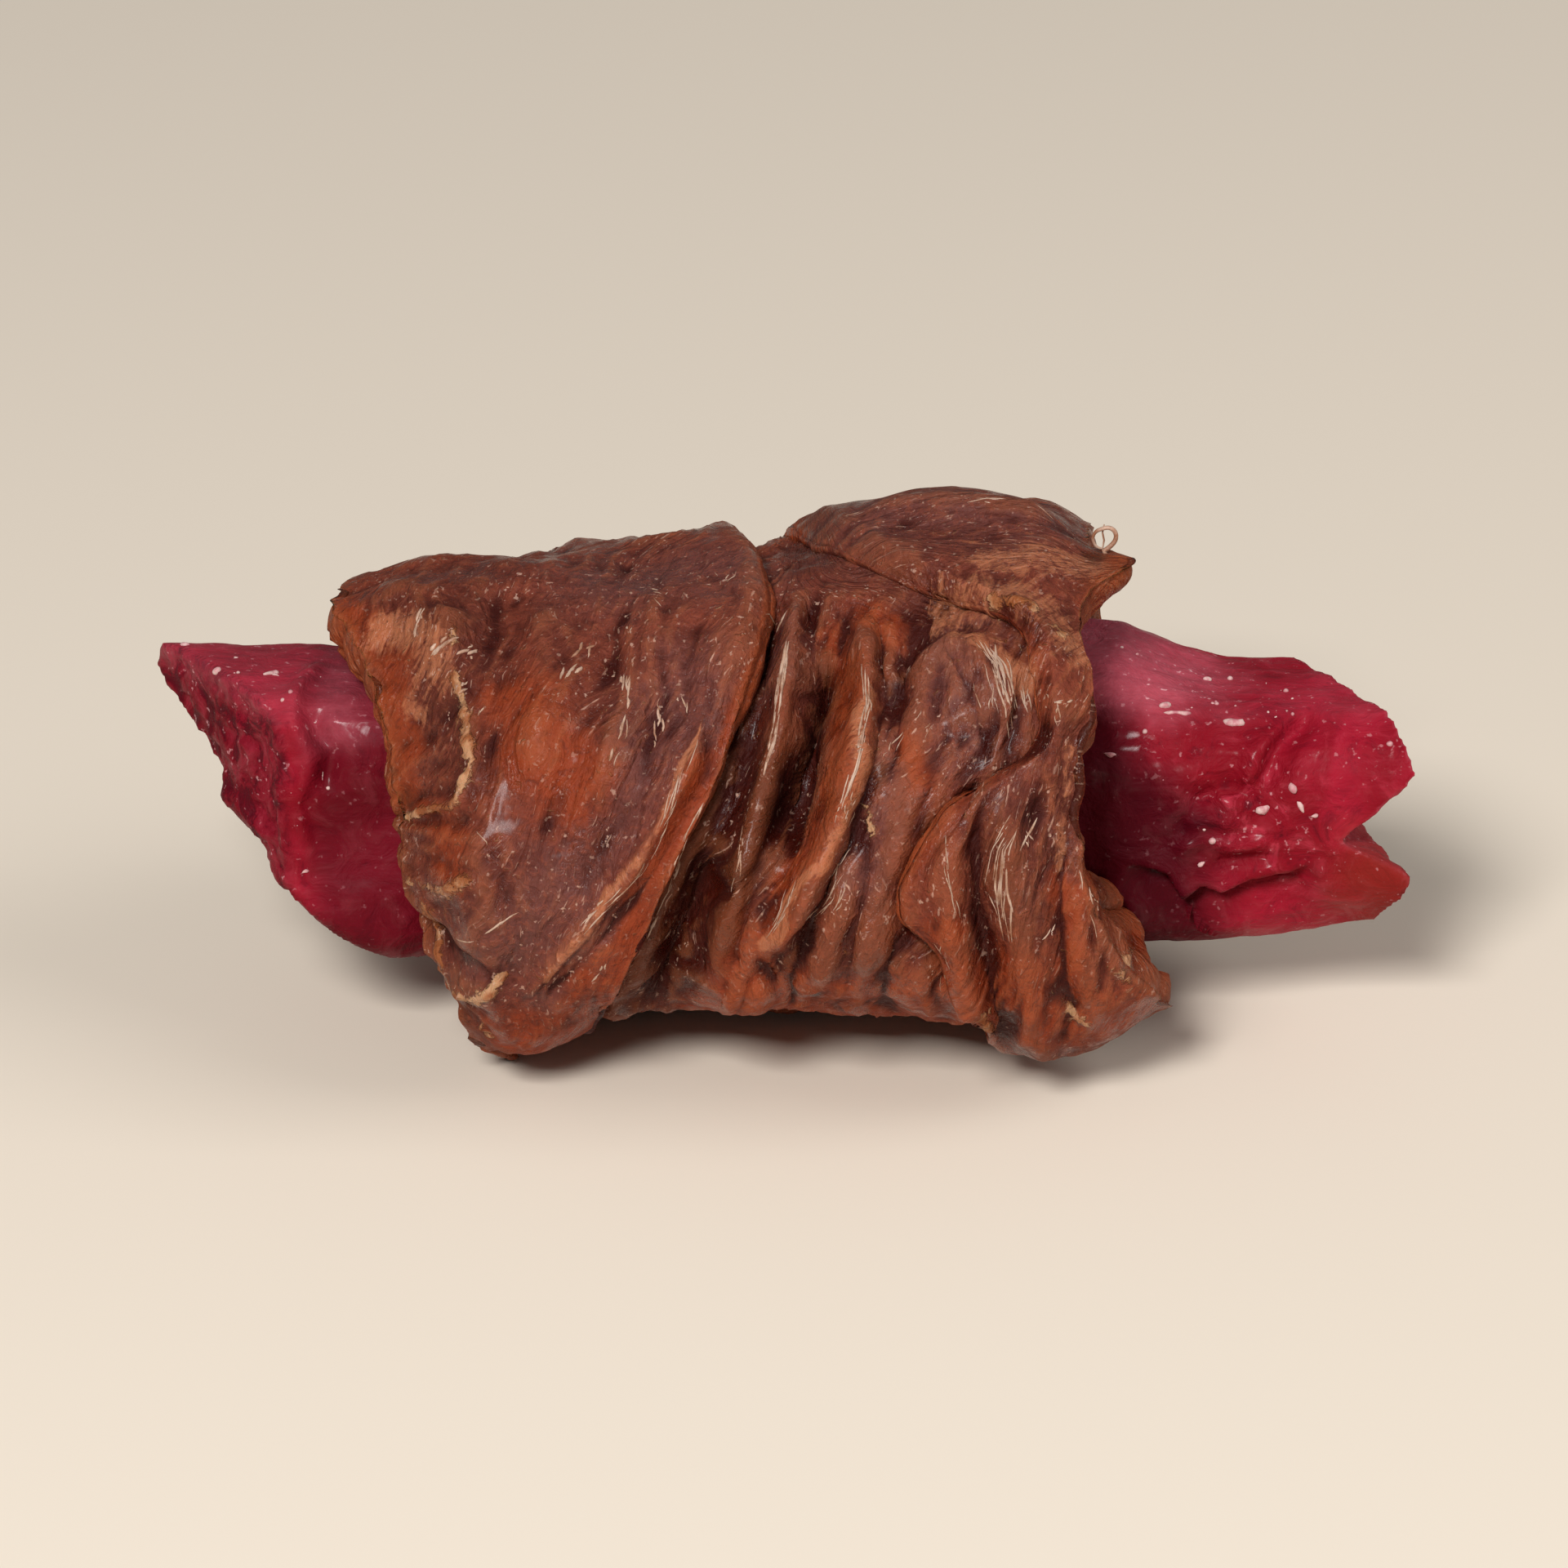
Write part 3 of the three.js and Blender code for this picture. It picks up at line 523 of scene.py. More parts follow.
def layered_end(rim, turn, open_side):
    """Draws a rim's inner layers in, and cuts the groove between them."""
    x, reach = rim
    x = np.broadcast_to(x, reach.shape)
    depth = reach[:, :1] - reach
    wander = 0.25 * noise(on_circle(turn, 2.0, depth), 131)
    wander = wander + 0.12 * noise(on_circle(turn, 7.0, depth), 133)
    wound = depth / LAYER_PITCH + wander + np.mod(turn, 360) / 360
    off = np.abs(wound - np.round(wound)) * LAYER_PITCH
    drawn = GROOVE_DEPTH * bell(off, GROOVE_WIDTH) + INSET * smooth(depth, 1.4, 3.4)
    drawn = drawn + 0.3 * layered_noise(on_circle(turn, 6.0, depth / 1.2), 137)
    return x - open_side * np.maximum(drawn, 0) * smooth(depth, 0.5, 1.4), reach


def wrap_sections(turn):
    """Each turn's section: x, reach and distance walked, and the region that each point is in."""

    def between(a, b, steps, reach):
        x = mix(a, b, (np.arange(1, steps) / steps)[None, :])
        return x, reach(x, turn)

    flare = right_flare(turn)
    left, right = left_rim(turn), right_rim(turn) + flare
    left_edge, right_edge = left_lap(turn), right_lap(turn)
    over_left, over_right = panel_reach(left_edge, turn), panel_reach(right_edge, turn)
    under_left = over_bore(over_left - left_lap_height(turn), left_edge, turn)
    under_right = over_bore(over_right - right_lap_height(turn), right_edge, turn)
    left_lip = lip(left_edge, 1, over_left, under_left, LIP_STEPS, 0.7)
    right_lip = [part[:, ::-1] for part in lip(right_edge, -1, over_right, under_right, LIP_STEPS, 0.7)]
    floor_from, floor_to = left_lip[0][:, -1:], right_lip[0][:, :1]

    def blended(x, turn):
        room = (floor_to - floor_from) / 2

        def off_edges(reach):
            reach = np.minimum(reach, room)
            return smooth(x - floor_from, 0, reach) * smooth(floor_to - x, 0, reach)

        side = mix(under_left, under_right, (x - floor_from) / (floor_to - floor_from))
        folds = fold_height(FLOOR_FOLDS, x, turn) + fold_height(FINE_FOLDS, x, turn)
        folds = folds * (0.2 + 0.8 * smooth(turn, -38, -14))
        made = mix(side, floor_reach(x, turn), off_edges(1.6)) + folds * off_edges(0.6)
        return over_bore(made, x, turn)

    over_rim_left, over_rim_right = panel_reach(left, turn), panel_reach(right, turn)
    rim_left = layered_end(lip(left, -1, over_rim_left, bore_reach(left, turn), RIM_STEPS), turn, -1)
    rim_left = [part[:, ::-1] for part in rim_left]
    rim_right = lip(right, 1, over_rim_right, bore_reach(right - flare, turn), RIM_STEPS, 0.0, flare)
    rim_right = layered_end(rim_right, turn, 1)
    pieces = [
        ("rim", rim_left, left - (over_rim_left - rim_left[1])),
        ("left", between(left, left_edge, LEFT_STEPS, panel_reach), None),
        ("lip", left_lip, left_edge + (over_left - left_lip[1])),
        ("floor", between(floor_from, floor_to, FLOOR_STEPS, blended), None),
        ("lip", right_lip, right_edge - (over_right - right_lip[1])),
        ("right", between(right_edge, right, RIGHT_STEPS, panel_reach), None),
        ("rim", rim_right, right + (over_rim_right - rim_right[1])),
        ("bore", between(rim_right[0][:, -1:], rim_left[0][:, :1], BORE_STEPS, bore_reach), None),
    ]
    x = np.concatenate([part[0] for _, part, _ in pieces], axis=1)
    reach = np.concatenate([part[1] for _, part, _ in pieces], axis=1)
    walked = np.concatenate([part[0] if span is None else span for _, part, span in pieces], axis=1)
    regions = np.array([name for name, part, _ in pieces for _ in range(part[0].shape[1])])
    return x, reach, walked, regions


def across_fibres(x, turn):
    """How far across the meat's fibres a point is: they lean to the left as they come down the front."""
    lean = 4.3 * np.sin(np.radians(turn - 20))
    drift = 0.9 * noise(on_circle(turn, 2.6, x / 4.2), 5) + 0.25 * noise(on_circle(turn, 7.0, x / 1.6), 6)
    return x - lean + drift


def wrap_turns():
    """The turns of the grid's rows, closer together where the photograph looks."""
    front = np.arange(-60, 100, FRONT_STEP)
    rest = np.arange(100, 300, REST_STEP)
    return np.concatenate([front, rest])[:, None]


def grid_normals(points):
    """Outward directions of a grid of points that closes on itself both ways."""
    along = np.roll(points, -1, axis=1) - np.roll(points, 1, axis=1)
    round_stick = np.roll(points, -1, axis=0) - np.roll(points, 1, axis=0)
    out = np.cross(along, round_stick)
    return out / (np.linalg.norm(out, axis=-1, keepdims=True) + 1e-9)


def hollows(points, normals, reach):
    """How far each point lies below those around it, in millimetres. A crest has a negative hollow."""
    total = 0
    for axis in (0, 1):
        for step in (-reach, reach):
            total = total + np.roll(points, step, axis=axis)
    return ((total / 4 - points) * normals).sum(axis=-1)


def strongest(patches, x, turn, wander):
    """The strongest of some patches at each point, from 0 to 1, with uneven edges."""
    total = np.zeros_like(x)
    for path, width, *strength in patches:
        _, off = beside(path, x, turn)
        total = np.maximum(total, (strength[0] if strength else 1.0) * bell(off + wander, width))
    return total


def ridges(points, seed):
    """Noise with sharp crests, from -1 to 1."""
    return 1 - np.abs(noise(points, seed)) * 2


def wrap_grid():
    """The wrap's points in millimetres, with what its materials need to know of each."""
    turn = wrap_turns()
    x, reach, walked, regions = wrap_sections(turn)
    a = np.radians(turn)
    points = np.stack([x, -reach * np.cos(a), AXIS_Z + reach * np.sin(a)], axis=-1)
    turn = np.broadcast_to(turn, x.shape)

    def within(name):
        return (regions == name)[None, :]

    outside = ~within("bore")

    # The fibres run round the stick, but along it over the top of the right side
    laid_along = smooth(turn, SWAP_TURN - 7, SWAP_TURN + 7) * (1 - smooth(turn, 118, 150))
    laid_along = laid_along * smooth(x, 0.5, 4.0)
    warp = 0.28 * meat_noise(turn, walked, 2.6, 57) + 0.11 * meat_noise(turn, walked, 0.9, 58)
    across = across_fibres(walked, turn) + warp
    down = turn * MEAT_ARC
    swapped_across = down - SWAP_TURN * MEAT_ARC + 5.0 + warp
    swapped_down = 16.0 + x
    clusters = smooth(meat_noise(turn, walked, 3.6, 73), -0.45, 0.55)
    busy = np.maximum(clusters, within("floor") * 0.85) * (1 - 0.5 * within("left"))

    def grain(wide, long, seed):
        rounds = ridges(on_circle(turn, MEAT_RADIUS / long, across / wide), seed)
        along = ridges(on_circle(turn, MEAT_RADIUS / wide, walked / long), seed + 1)
        return mix(rounds, along, laid_along)

    lumps = meat_noise(turn, walked, 2.4, 71, layered_noise)
    relief = (0.05 + 0.15 * busy) * grain(1.3, 5.0, 61) + (0.02 + 0.09 * busy) * grain(0.6, 2.2, 67)
    relief = relief + (0.01 + 0.04 * busy) * grain(0.32, 1.2, 69)
    relief = relief * (1 - 0.45 * laid_along) + 0.16 * lumps

    wander = 0.16 * meat_noise(turn, x, 1.1, 79)
    tan = strongest(TAN_SCRAPS, x, turn, wander)
    tan = tan * smooth(meat_noise(turn, x, 0.9, 81), -0.95, -0.1)
    crumbly = 0.14 + 0.3 * meat_noise(turn, x, 0.45, 83)
    relief = relief + tan * crumbly
    points = points + grid_normals(points) * (relief * outside)[..., None]
    points[..., 2] = np.maximum(points[..., 2], 0)

    normals = grid_normals(points)
    # Painted shade: the meat is painted darker in its hollows and creases, found from the surface's
    # curvature.
    fine, broad = hollows(points, normals, 3), hollows(points, normals, 8)
    hollow_shade = smooth(fine, 0.01, 0.09) * 0.6 + smooth(broad, 0.03, 0.42)
    # Crests are painted lighter: partly paler worn meat, partly painted highlight.
    fine, broad = -hollows(points, normals, 2), -hollows(points, normals, 6)
    crest = smooth(fine, 0.008, 0.06) + smooth(broad, 0.05, 0.4)
    # The bevels and lips of the lapped edges are painted orange: partly the meat's own colour, partly
    # painted glow of light shining through the thin edges.
    slope = left_bevel(turn)
    bevel = np.maximum(
        (1 - smooth(left_lap(turn) - x, 0.3 * slope, 0.7 * slope)) * within("left") * 0.8,
        (1 - smooth(x - right_lap(turn), 0.2, 1.1)) * within("right") * 0.5,
    )
    bevel = np.where(within("lip"), 1.0, bevel) * (1 - 0.7 * smooth(turn, 52, 66) * (x > 1.5))
    broad_wander = 0.7 * meat_noise(turn, x, 2.0, 89, layered_noise)
    orange = np.maximum(strongest(ORANGE_PATCHES, x, turn, broad_wander), bevel)
    purple = strongest(PURPLE_PATCHES, x, turn, broad_wander) * (1 - orange)
    pale = strongest(PALE_PATCHES, x, turn, 0.6 * broad_wander) * (0.7 + 0.3 * clusters)
    # Painted shade in the strip right of the left lapped edge, under its overhang, and where the floor
    # lies deep below the roll's bulk.
    lap_shadow = (1 - smooth(x - left_lap(turn), 2.6, 4.4)) * (1 - smooth(turn, 20, 60))
    lap_shadow = lap_shadow * smooth(turn, -50, -30)
    floor_shade = 0.85 * lap_shadow + smooth(bulk_reach(x, turn) + ripple(x, turn) - reach, 1.6, 3.4)
    floor_shade = np.maximum(floor_shade, strongest(SHADED_HOLLOWS, x, turn, 0.3 * broad_wander))
    floor_shade = floor_shade * within("floor")
    rims = np.maximum(1 - smooth(x - left_rim(turn), 0, 1.0), 1 - smooth(right_rim(turn) - x, -1.0, 0.6))
    marks = {
        "pale": pale * outside,
        "tan": tan * outside,
        "orange": orange,
        "purple": purple,
        "hollow_shade": np.maximum(hollow_shade, floor_shade),
        "crest": crest * outside,
        "rim": rims,
    }
    fibres = (mix(across, swapped_across, laid_along), mix(down, swapped_down, laid_along))
    return points, fibres, marks


def to_metres(points):
    return (points - MIDDLE) * MM


def add_object(name, data):
    piece = bpy.data.objects.new(name, data)
    bpy.context.collection.objects.link(piece)
    return piece


def give_marks(piece, marks):
    """Stores a value from 0 to 1 at each point of a piece for its material to read."""
    for name, values in marks.items():
        attribute = piece.data.attributes.new(name, "FLOAT", "POINT")
        attribute.data.foreach_set("value", np.clip(values, 0, 1).astype(np.float32).ravel())


def make_wrap():
    points, (across, down), marks = wrap_grid()
    rows, columns = points.shape[:2]
    here = np.arange(rows * columns).reshape(rows, columns)
    below = np.roll(here, -1, axis=0)
    faces = np.stack([here, np.roll(here, -1, axis=1), np.roll(below, -1, axis=1), below], axis=-1)
    mesh = bpy.data.meshes.new("duck_meat_wrap")
    mesh.from_pydata(to_metres(points).reshape(-1, 3).tolist(), [], faces.reshape(-1, 4).tolist())
    mesh.update()
    wrap = add_object("duck_meat_wrap", mesh)
    give_marks(wrap, marks)
    corners = np.zeros(len(mesh.loops), np.int64)
    mesh.loops.foreach_get("vertex_index", corners)
    own_row = corners // columns
    first_row = np.repeat(own_row.reshape(-1, 4)[:, :1], 4, axis=1).ravel()
    past_seam = (first_row == rows - 1) & (own_row == 0)
    lap = np.where(past_seam, 360 * MEAT_ARC, 0.0)
    uv = np.stack([across.ravel()[corners], down.ravel()[corners] + lap], axis=1) / 10
    mesh.uv_layers.new(name="fibres").data.foreach_set("uv", uv.astype(np.float32).ravel())
    mesh.shade_smooth()
    return wrap


# Marks on the stick, given as the folds are, and its millimetres per degree of turn
STICK_ARC = math.radians(5.3)
KNIFE_MARKS = [
    ([(22.2, 66), (21.2, 54), (20.6, 44), (20.3, 34), (20.6, 26)], -0.7, 0.16, 0.8),
    ([(20.6, 52), (19.9, 40), (19.8, 30)], 0.25, 0.5, 0.3),
    (
        [(14.6, -6), (16.2, -12), (16.9, -25), (17.8, -18), (18.6, -21), (19.8, -16), (21.3, -14),
         (22.4, -6)], -1.1, 1.5, 0.16,
    ),
    ([(17.2, 22), (18.6, 29), (20.2, 24)], -0.45, 0.2, 0.6),
    ([(16.6, 2), (17.8, 8), (19.6, 4), (20.8, 8)], 0.35, 0.4, 0.3),
    ([(17, 14), (18.4, 18), (19.4, 14)], 0.3, 0.4, 0.25),
    ([(18, -6), (19.4, -3), (21, -4)], -0.35, 0.3),
    ([(-18.2, 98), (-19.1, 67), (-19.2, 54), (-18.4, 42), (-19.1, 26), (-18.6, -6)], 0.38, 0.5, 0.3),
    ([(-18.5, 60), (-18.2, 50), (-17.6, 44), (-18, 30)], -0.5, 0.25, 0.5),
    ([(-20.6, 60), (-20.2, 30), (-19.9, 6)], -0.35, 0.6, 0.4),
    ([(-22.6, 60), (-21.6, 30), (-20.4, 2)], 0.25, 0.4),
    ([(13.4, 60), (15.6, 52), (18, 48)], 0.2, 0.6),
]


def select_only(piece):
    bpy.ops.object.select_all(action="DESELECT")
    bpy.context.view_layer.objects.active = piece
    piece.select_set(True)


def cad_copy(node, name):
    """A copy of a CAD node with its loose triangles joined."""
    piece = add_object(name, bpy.data.objects[node].data.copy())
    mesh = bmesh.new()
    mesh.from_mesh(piece.data)
    bmesh.ops.remove_doubles(mesh, verts=mesh.verts, dist=1e-6)
    mesh.to_mesh(piece.data)
    mesh.free()
    return piece


def mesh_arrays(piece):
    points = np.zeros(3 * len(piece.data.vertices))
    normals = np.zeros(3 * len(piece.data.vertices))
    piece.data.vertices.foreach_get("co", points)
    piece.data.vertices.foreach_get("normal", normals)
    return points.reshape(-1, 3) / MM + MIDDLE, normals.reshape(-1, 3)


def make_stick():
    stick = cad_copy("sweet_potato_stick", "purple_sweet_potato")
    select_only(stick)
    remesh = stick.modifiers.new("remesh", "REMESH")
    remesh.mode = "VOXEL"
    remesh.voxel_size = STICK_VOXEL * MM
    bpy.ops.object.modifier_apply(modifier=remesh.name)
    soften = stick.modifiers.new("soften", "SMOOTH")
    soften.factor = 0.5
    soften.iterations = 3
    bpy.ops.object.modifier_apply(modifier=soften.name)

    points, normals = mesh_arrays(stick)
    x = points[:, 0]
    turn = np.degrees(np.arctan2(points[:, 2] - AXIS_Z, -points[:, 1]))
    left_end = smooth(-x, 18.6, 19.6) * smooth(-normals[:, 0], 0.3, 0.6)
    right_end = smooth(x, 21.5, 24.5)
    broken = bell(x - 19.6, 2.6) * bell(turned_from(turn, 14), 24)
    rough = np.clip(left_end + 0.6 * right_end * np.abs(normals[:, 0]) + broken + 0.25, 0, 1)
    lumps = layered_noise(points / 2.4, 101)
    crags = layered_noise(points / 0.95, 103)
    bent = points + 0.5 * layered_noise(points / 1.3, 104)[:, None]
    pits = smooth(noise(bent / np.array([0.9, 1.1, 0.6]), 105), 0.25, 0.7)
    grain = noise(points / np.array([4.0, 0.5, 0.5]), 107)
    relief = 0.09 * lumps + 0.2 * rough * crags - 0.18 * left_end * pits + 0.03 * grain
    relief = relief + fold_height(KNIFE_MARKS, x, turn, STICK_ARC)
    beside_wrap = smooth(-x, 13.0, 15.5) + smooth(x, 13.2, 15.6) * (1 - smooth(x, 18.0, 22.0))
    relief = relief + STICK_DROOP * bell(turn + 36, 26) * beside_wrap
    relief = relief + CUT_BULGE * left_end * bell(turn - 30, 40)
    bare = (x < left_rim_line(20.0) + 2) | (x > BARE_FROM)
    relief = np.where(bare, relief, np.minimum(relief, 0.0))
    points = points + normals * relief[:, None]
    stick.data.vertices.foreach_set("co", to_metres(points).ravel())

    wander = layered_noise(points / 1.8, 109)
    prong = smooth(x + wander, 21.6, 25.0) * smooth(6 * wander - turn, -24, -4) * (np.abs(turn) < 90)
    # The top of the stick, found by height, and the right end's cut edges are painted pale pink: partly
    # dusty bloom, partly painted light on the top facet.
    crown = smooth(points[:, 2] + 0.5 * wander, 13.9, 15.2)
    crown = crown * (0.3 + 0.7 * smooth(x, 0, 14) * (1 - smooth(x, 18, 21)))
    crown = np.maximum(crown, 0.6 * bell(x + 17.4, 1.3) * smooth(turn, 40, 52) * (turn < 90))
    # Painted shade: the stick is painted darker beside the wrap, on the left facet and low on the right,
    # where the wrap's shadow falls.
    shade_left = smooth(x + 0.4 * wander, -19.6, -17.6) * (x < 0)
    low = 1 - smooth(turn, 12, 52)
    shade_right = (1 - smooth(x - 3.6 * low + 0.6 * wander, 13.0, 16.5)) * (x > 0)
    near_wrap = np.maximum(0.7 * shade_left, shade_right)
    cut_edge = smooth(np.abs(normals[:, 0]), 0.25, 0.6) * smooth(x, 20, 24)
    dust_and_lit_top = np.maximum(crown, cut_edge * 0.5)
    give_marks(stick, {"rough": rough, "skin": prong, "dust_and_lit_top": dust_and_lit_top, "cut": left_end, "painted_shade": near_wrap})
    stick.data.shade_smooth()
    return stick


def path_steps(path):
    """The lengths of a path's straight runs, in millimetres."""
    return [math.hypot(b[0] - a[0], (b[1] - a[1]) * ARC) for a, b in itertools.pairwise(path)]


def point_on(path, part):
    """The point a given part of the way along a path."""
    steps = path_steps(path)
    left = part * sum(steps)
    for (a, b), step in zip(itertools.pairwise(path), steps):
        if left <= step:
            break
        left -= step
    return mix(a[0], b[0], min(left / step, 1)), mix(a[1], b[1], min(left / step, 1))


# Rays at a piece start this far from the stick's axis, in metres
RAY_START = 0.03


def surface_point(tree, x, turn):
    """Where the outside of a piece lies at a place along X and a turn, with its normal."""
    a = math.radians(turn)
    out = Vector((0, -math.cos(a), math.sin(a)))
    axis = Vector(to_metres(np.array([x, 0.0, AXIS_Z])))
    return tree.ray_cast(axis + out * RAY_START, -out)[:2]


# Flecks of starch on the stick: X, turn, length, width and lean in degrees
FLECKS = [
    (19.1, 57, 0.95, 0.42, -12), (16.8, 61, 1.15, 0.15, 4), (16.3, 64, 0.5, 0.2, 20),
    (20.3, 21, 0.55, 0.4, 30), (21.5, 30, 0.5, 0.16, -70), (21.8, 22, 0.6, 0.16, -60),
    (22.3, 18, 0.4, 0.2, 10), (14.1, 43, 0.7, 0.18, -10), (17.8, -4, 0.32, 0.16, 30),
    (25.4, 48, 0.2, 0.12, 0), (18, 92, 0.3, 0.14, 0), (20.4, 92, 0.2, 0.12, 0),
    (-20.4, 84, 0.7, 0.2, 40), (-20.2, 83, 0.6, 0.16, -35), (-20.3, 85, 0.5, 0.16, 5),
    (-22.6, 88, 0.3, 0.2, 0), (-18.3, 56, 0.2, 0.1, 0), (-18, 38, 0.75, 0.1, 82),
    (-18.9, -8, 0.4, 0.12, 25), (-24.2, 112, 0.3, 0.2, 0),
]
FLECK_THICKNESS = 0.3

# Smaller crumbs strewn along edges of the stick: path, number, spread and size
STREWN = [
    ([(15.6, 68), (18, 67), (20.5, 65), (23, 64)], 14, 0.22, 0.09),
    ([(14, 92), (22, 92)], 7, 1.6, 0.1),
    ([(-22, 84), (-19.5, 90)], 5, 0.6, 0.11),
    ([(-19.2, 70), (-18.8, 42), (-18.8, 0)], 6, 0.5, 0.07),
    ([(16, 30), (22, 10)], 5, 1.6, 0.07),
    ([(15, 160), (23, 200)], 8, 3, 0.11),
]


def make_flecks(stick):
    """Crumbs of pale starch that sit half sunk in the stick's surface."""
    tree = BVHTree.FromObject(stick, bpy.context.evaluated_depsgraph_get())
    crumbs = []
    random = np.random.default_rng(5)
    strewn = []
    for path, count, spread, size in STREWN:
        for _ in range(count):
            x, turn = point_on(path, random.uniform())
            x, turn = x + spread * random.normal(), turn + spread * random.normal() / STICK_ARC
            length = size * random.uniform(0.6, 1.6)
            strewn.append((x, turn, length, length * random.uniform(0.5, 0.9), random.uniform(0, 180)))
    for number, (x, turn, length, width, lean) in enumerate(FLECKS + strewn):
        spot, normal = surface_point(tree, x, turn)
        if spot is None:
            continue
        bpy.ops.mesh.primitive_ico_sphere_add(subdivisions=2, radius=0.5 * MM)
        crumb = bpy.context.object
        along = Vector((1, 0, 0)) - normal * normal.x
        along.normalize()
        turned = Matrix((along, normal.cross(along).normalized(), normal)).transposed().to_4x4()
        sized = Matrix.Diagonal((length, width, min(FLECK_THICKNESS, width), 1))
        leaning = Matrix.Rotation(math.radians(lean), 4, "Z")
        crumb.matrix_world = Matrix.Translation(spot) @ turned @ leaning @ sized
        bpy.ops.object.transform_apply(location=True, rotation=True, scale=True)
        points, normals = mesh_arrays(crumb)
        uneven = 0.13 * noise(points / 0.3, 211 + number)
        crumb.data.vertices.foreach_set("co", to_metres(points + normals * uneven[:, None]).ravel())
        crumbs.append(crumb)
    select_only(crumbs[0])
    for crumb in crumbs:
        crumb.select_set(True)
    bpy.ops.object.join()
    flecks = bpy.context.object
    flecks.name = "starch_flecks"
    bpy.ops.object.shade_smooth()
    return flecks


def thread_curve(name, thickness):
    """An empty curve whose splines become round threads."""
    curve = bpy.data.curves.new(name, "CURVE")
    curve.dimensions = "3D"
    curve.bevel_depth = thickness * MM / 2
    curve.bevel_resolution = 1
    curve.use_fill_caps = True
    return curve


def add_spline(curve, places, radii):
    spline = curve.splines.new("POLY")
    spline.points.add(len(places) - 1)
    for point, place, radius in zip(spline.points, places, radii):
        point.co = (*place, 1)
        point.radius = radius


def curve_to_mesh(curve, name):
    select_only(add_object(name, curve))
    bpy.ops.object.convert(target="MESH")
    bpy.ops.object.shade_smooth()
    return bpy.context.object


# Steps along a thread, the widest gap that it may jump, and how deep it's sunk, in its own thickness
THREAD_STEP = 0.22
THREAD_JUMP = 0.6
THREAD_SUNK = 0.1


def make_sinew_and_glint_threads(wrap):
    """Fine pale threads that lie along the folds of the meat: partly sinew, partly painted highlights
    standing for glints on wet fibres.
    """
    tree = BVHTree.FromObject(wrap, bpy.context.evaluated_depsgraph_get())
    curve = thread_curve("sinew_threads", 1.0)
    random = np.random.default_rng(3)
    for path, count, spread, longest, thickness in SINEW_AND_GLINT_THREADS:
        whole = sum(path_steps(path))
        for _ in range(count):
            length = min(1.0, 0.85 * longest * random.uniform(0.25, 1.0) / whole)
            start = random.uniform(0, 1 - length)
            aside, lean = spread * random.normal(), 0.3 * spread * random.normal()
            thick = thickness * random.uniform(0.5, 1.15)
            phase = random.uniform(0, 6)
            steps = max(5, int(length * whole / THREAD_STEP))
            places, radii = [], []
            for i in range(steps + 1):
                part = i / steps
                x, turn = point_on(path, start + length * part)
                waver = 0.03 * math.sin(4 * part + phase) + 0.008 * random.normal()
                x += aside + lean * (2 * part - 1) + waver
                spot, normal = surface_point(tree, x, turn)
                if spot is None or (places and (spot - places[-1]).length > THREAD_JUMP * MM):
                    break
                places.append(spot - normal * THREAD_SUNK * thick * MM)
                fullness = 0.25 + 0.75 * math.sin(math.pi * part) ** 0.5
                radii.append(thick * fullness * random.uniform(0.8, 1.2))
            if len(places) > 2:
                add_spline(curve, places, radii)
    return curve_to_mesh(curve, "sinew_threads")


# A dried thread of sinew that curls up from the wrap's upper right edge
CURL_FOOT = (13.9, 84.0)
CURL_RADIUS = 0.46
CURL_THICKNESS = 0.17
CURL_STEPS = 30


def make_curl(wrap):
    tree = BVHTree.FromObject(wrap, bpy.context.evaluated_depsgraph_get())
    foot, _ = surface_point(tree, *CURL_FOOT)
    places = [foot + Vector((0.1, 0, -0.15)) * MM]
    for i in range(CURL_STEPS + 1):
        part = i / CURL_STEPS
        angle = math.radians(-90 + 350 * part)
        bent = 1 + 0.16 * math.sin(2 * angle + 0.6) + 0.04 * math.sin(3 * angle)
        ring_x = CURL_RADIUS * bent * math.cos(angle) * (1 - 0.15 * part)
        ring_z = 0.6 + CURL_RADIUS * 1.1 * bent * math.sin(angle)
        places.append(foot + Vector((ring_x, 0.25 * part, ring_z)) * MM)
    last = places[-1]
    for rise in (0.35, 0.7, 1.05):
        places.append(last + Vector((0.05 * math.sin(6 * rise) + 0.08 * rise, 0, rise)) * MM)
    radii = [1.2 - 0.8 * (i / (len(places) - 1)) ** 2 for i in range(len(places))]
    curve = thread_curve("curled_sinew", CURL_THICKNESS)
    curve.bevel_resolution = 3
    add_spline(curve, places, radii)
    return curve_to_mesh(curve, "curled_sinew")


class Number:
    """A shader value with arithmetic: an expression on it adds its Math nodes."""

    def __init__(self, finish, socket):
        self.finish = finish
        self.socket = socket

    def math(self, operation, *values):
        return self.finish.node("ShaderNodeMath", {"operation": operation}, dict(enumerate(values)))

    def __add__(self, other):
        return self.math("ADD", self, other)

    __radd__ = __add__

    def __sub__(self, other):
        return self.math("SUBTRACT", self, other)

    def __rsub__(self, other):
        return self.math("SUBTRACT", other, self)

    def __mul__(self, other):
        return self.math("MULTIPLY", self, other)

    __rmul__ = __mul__


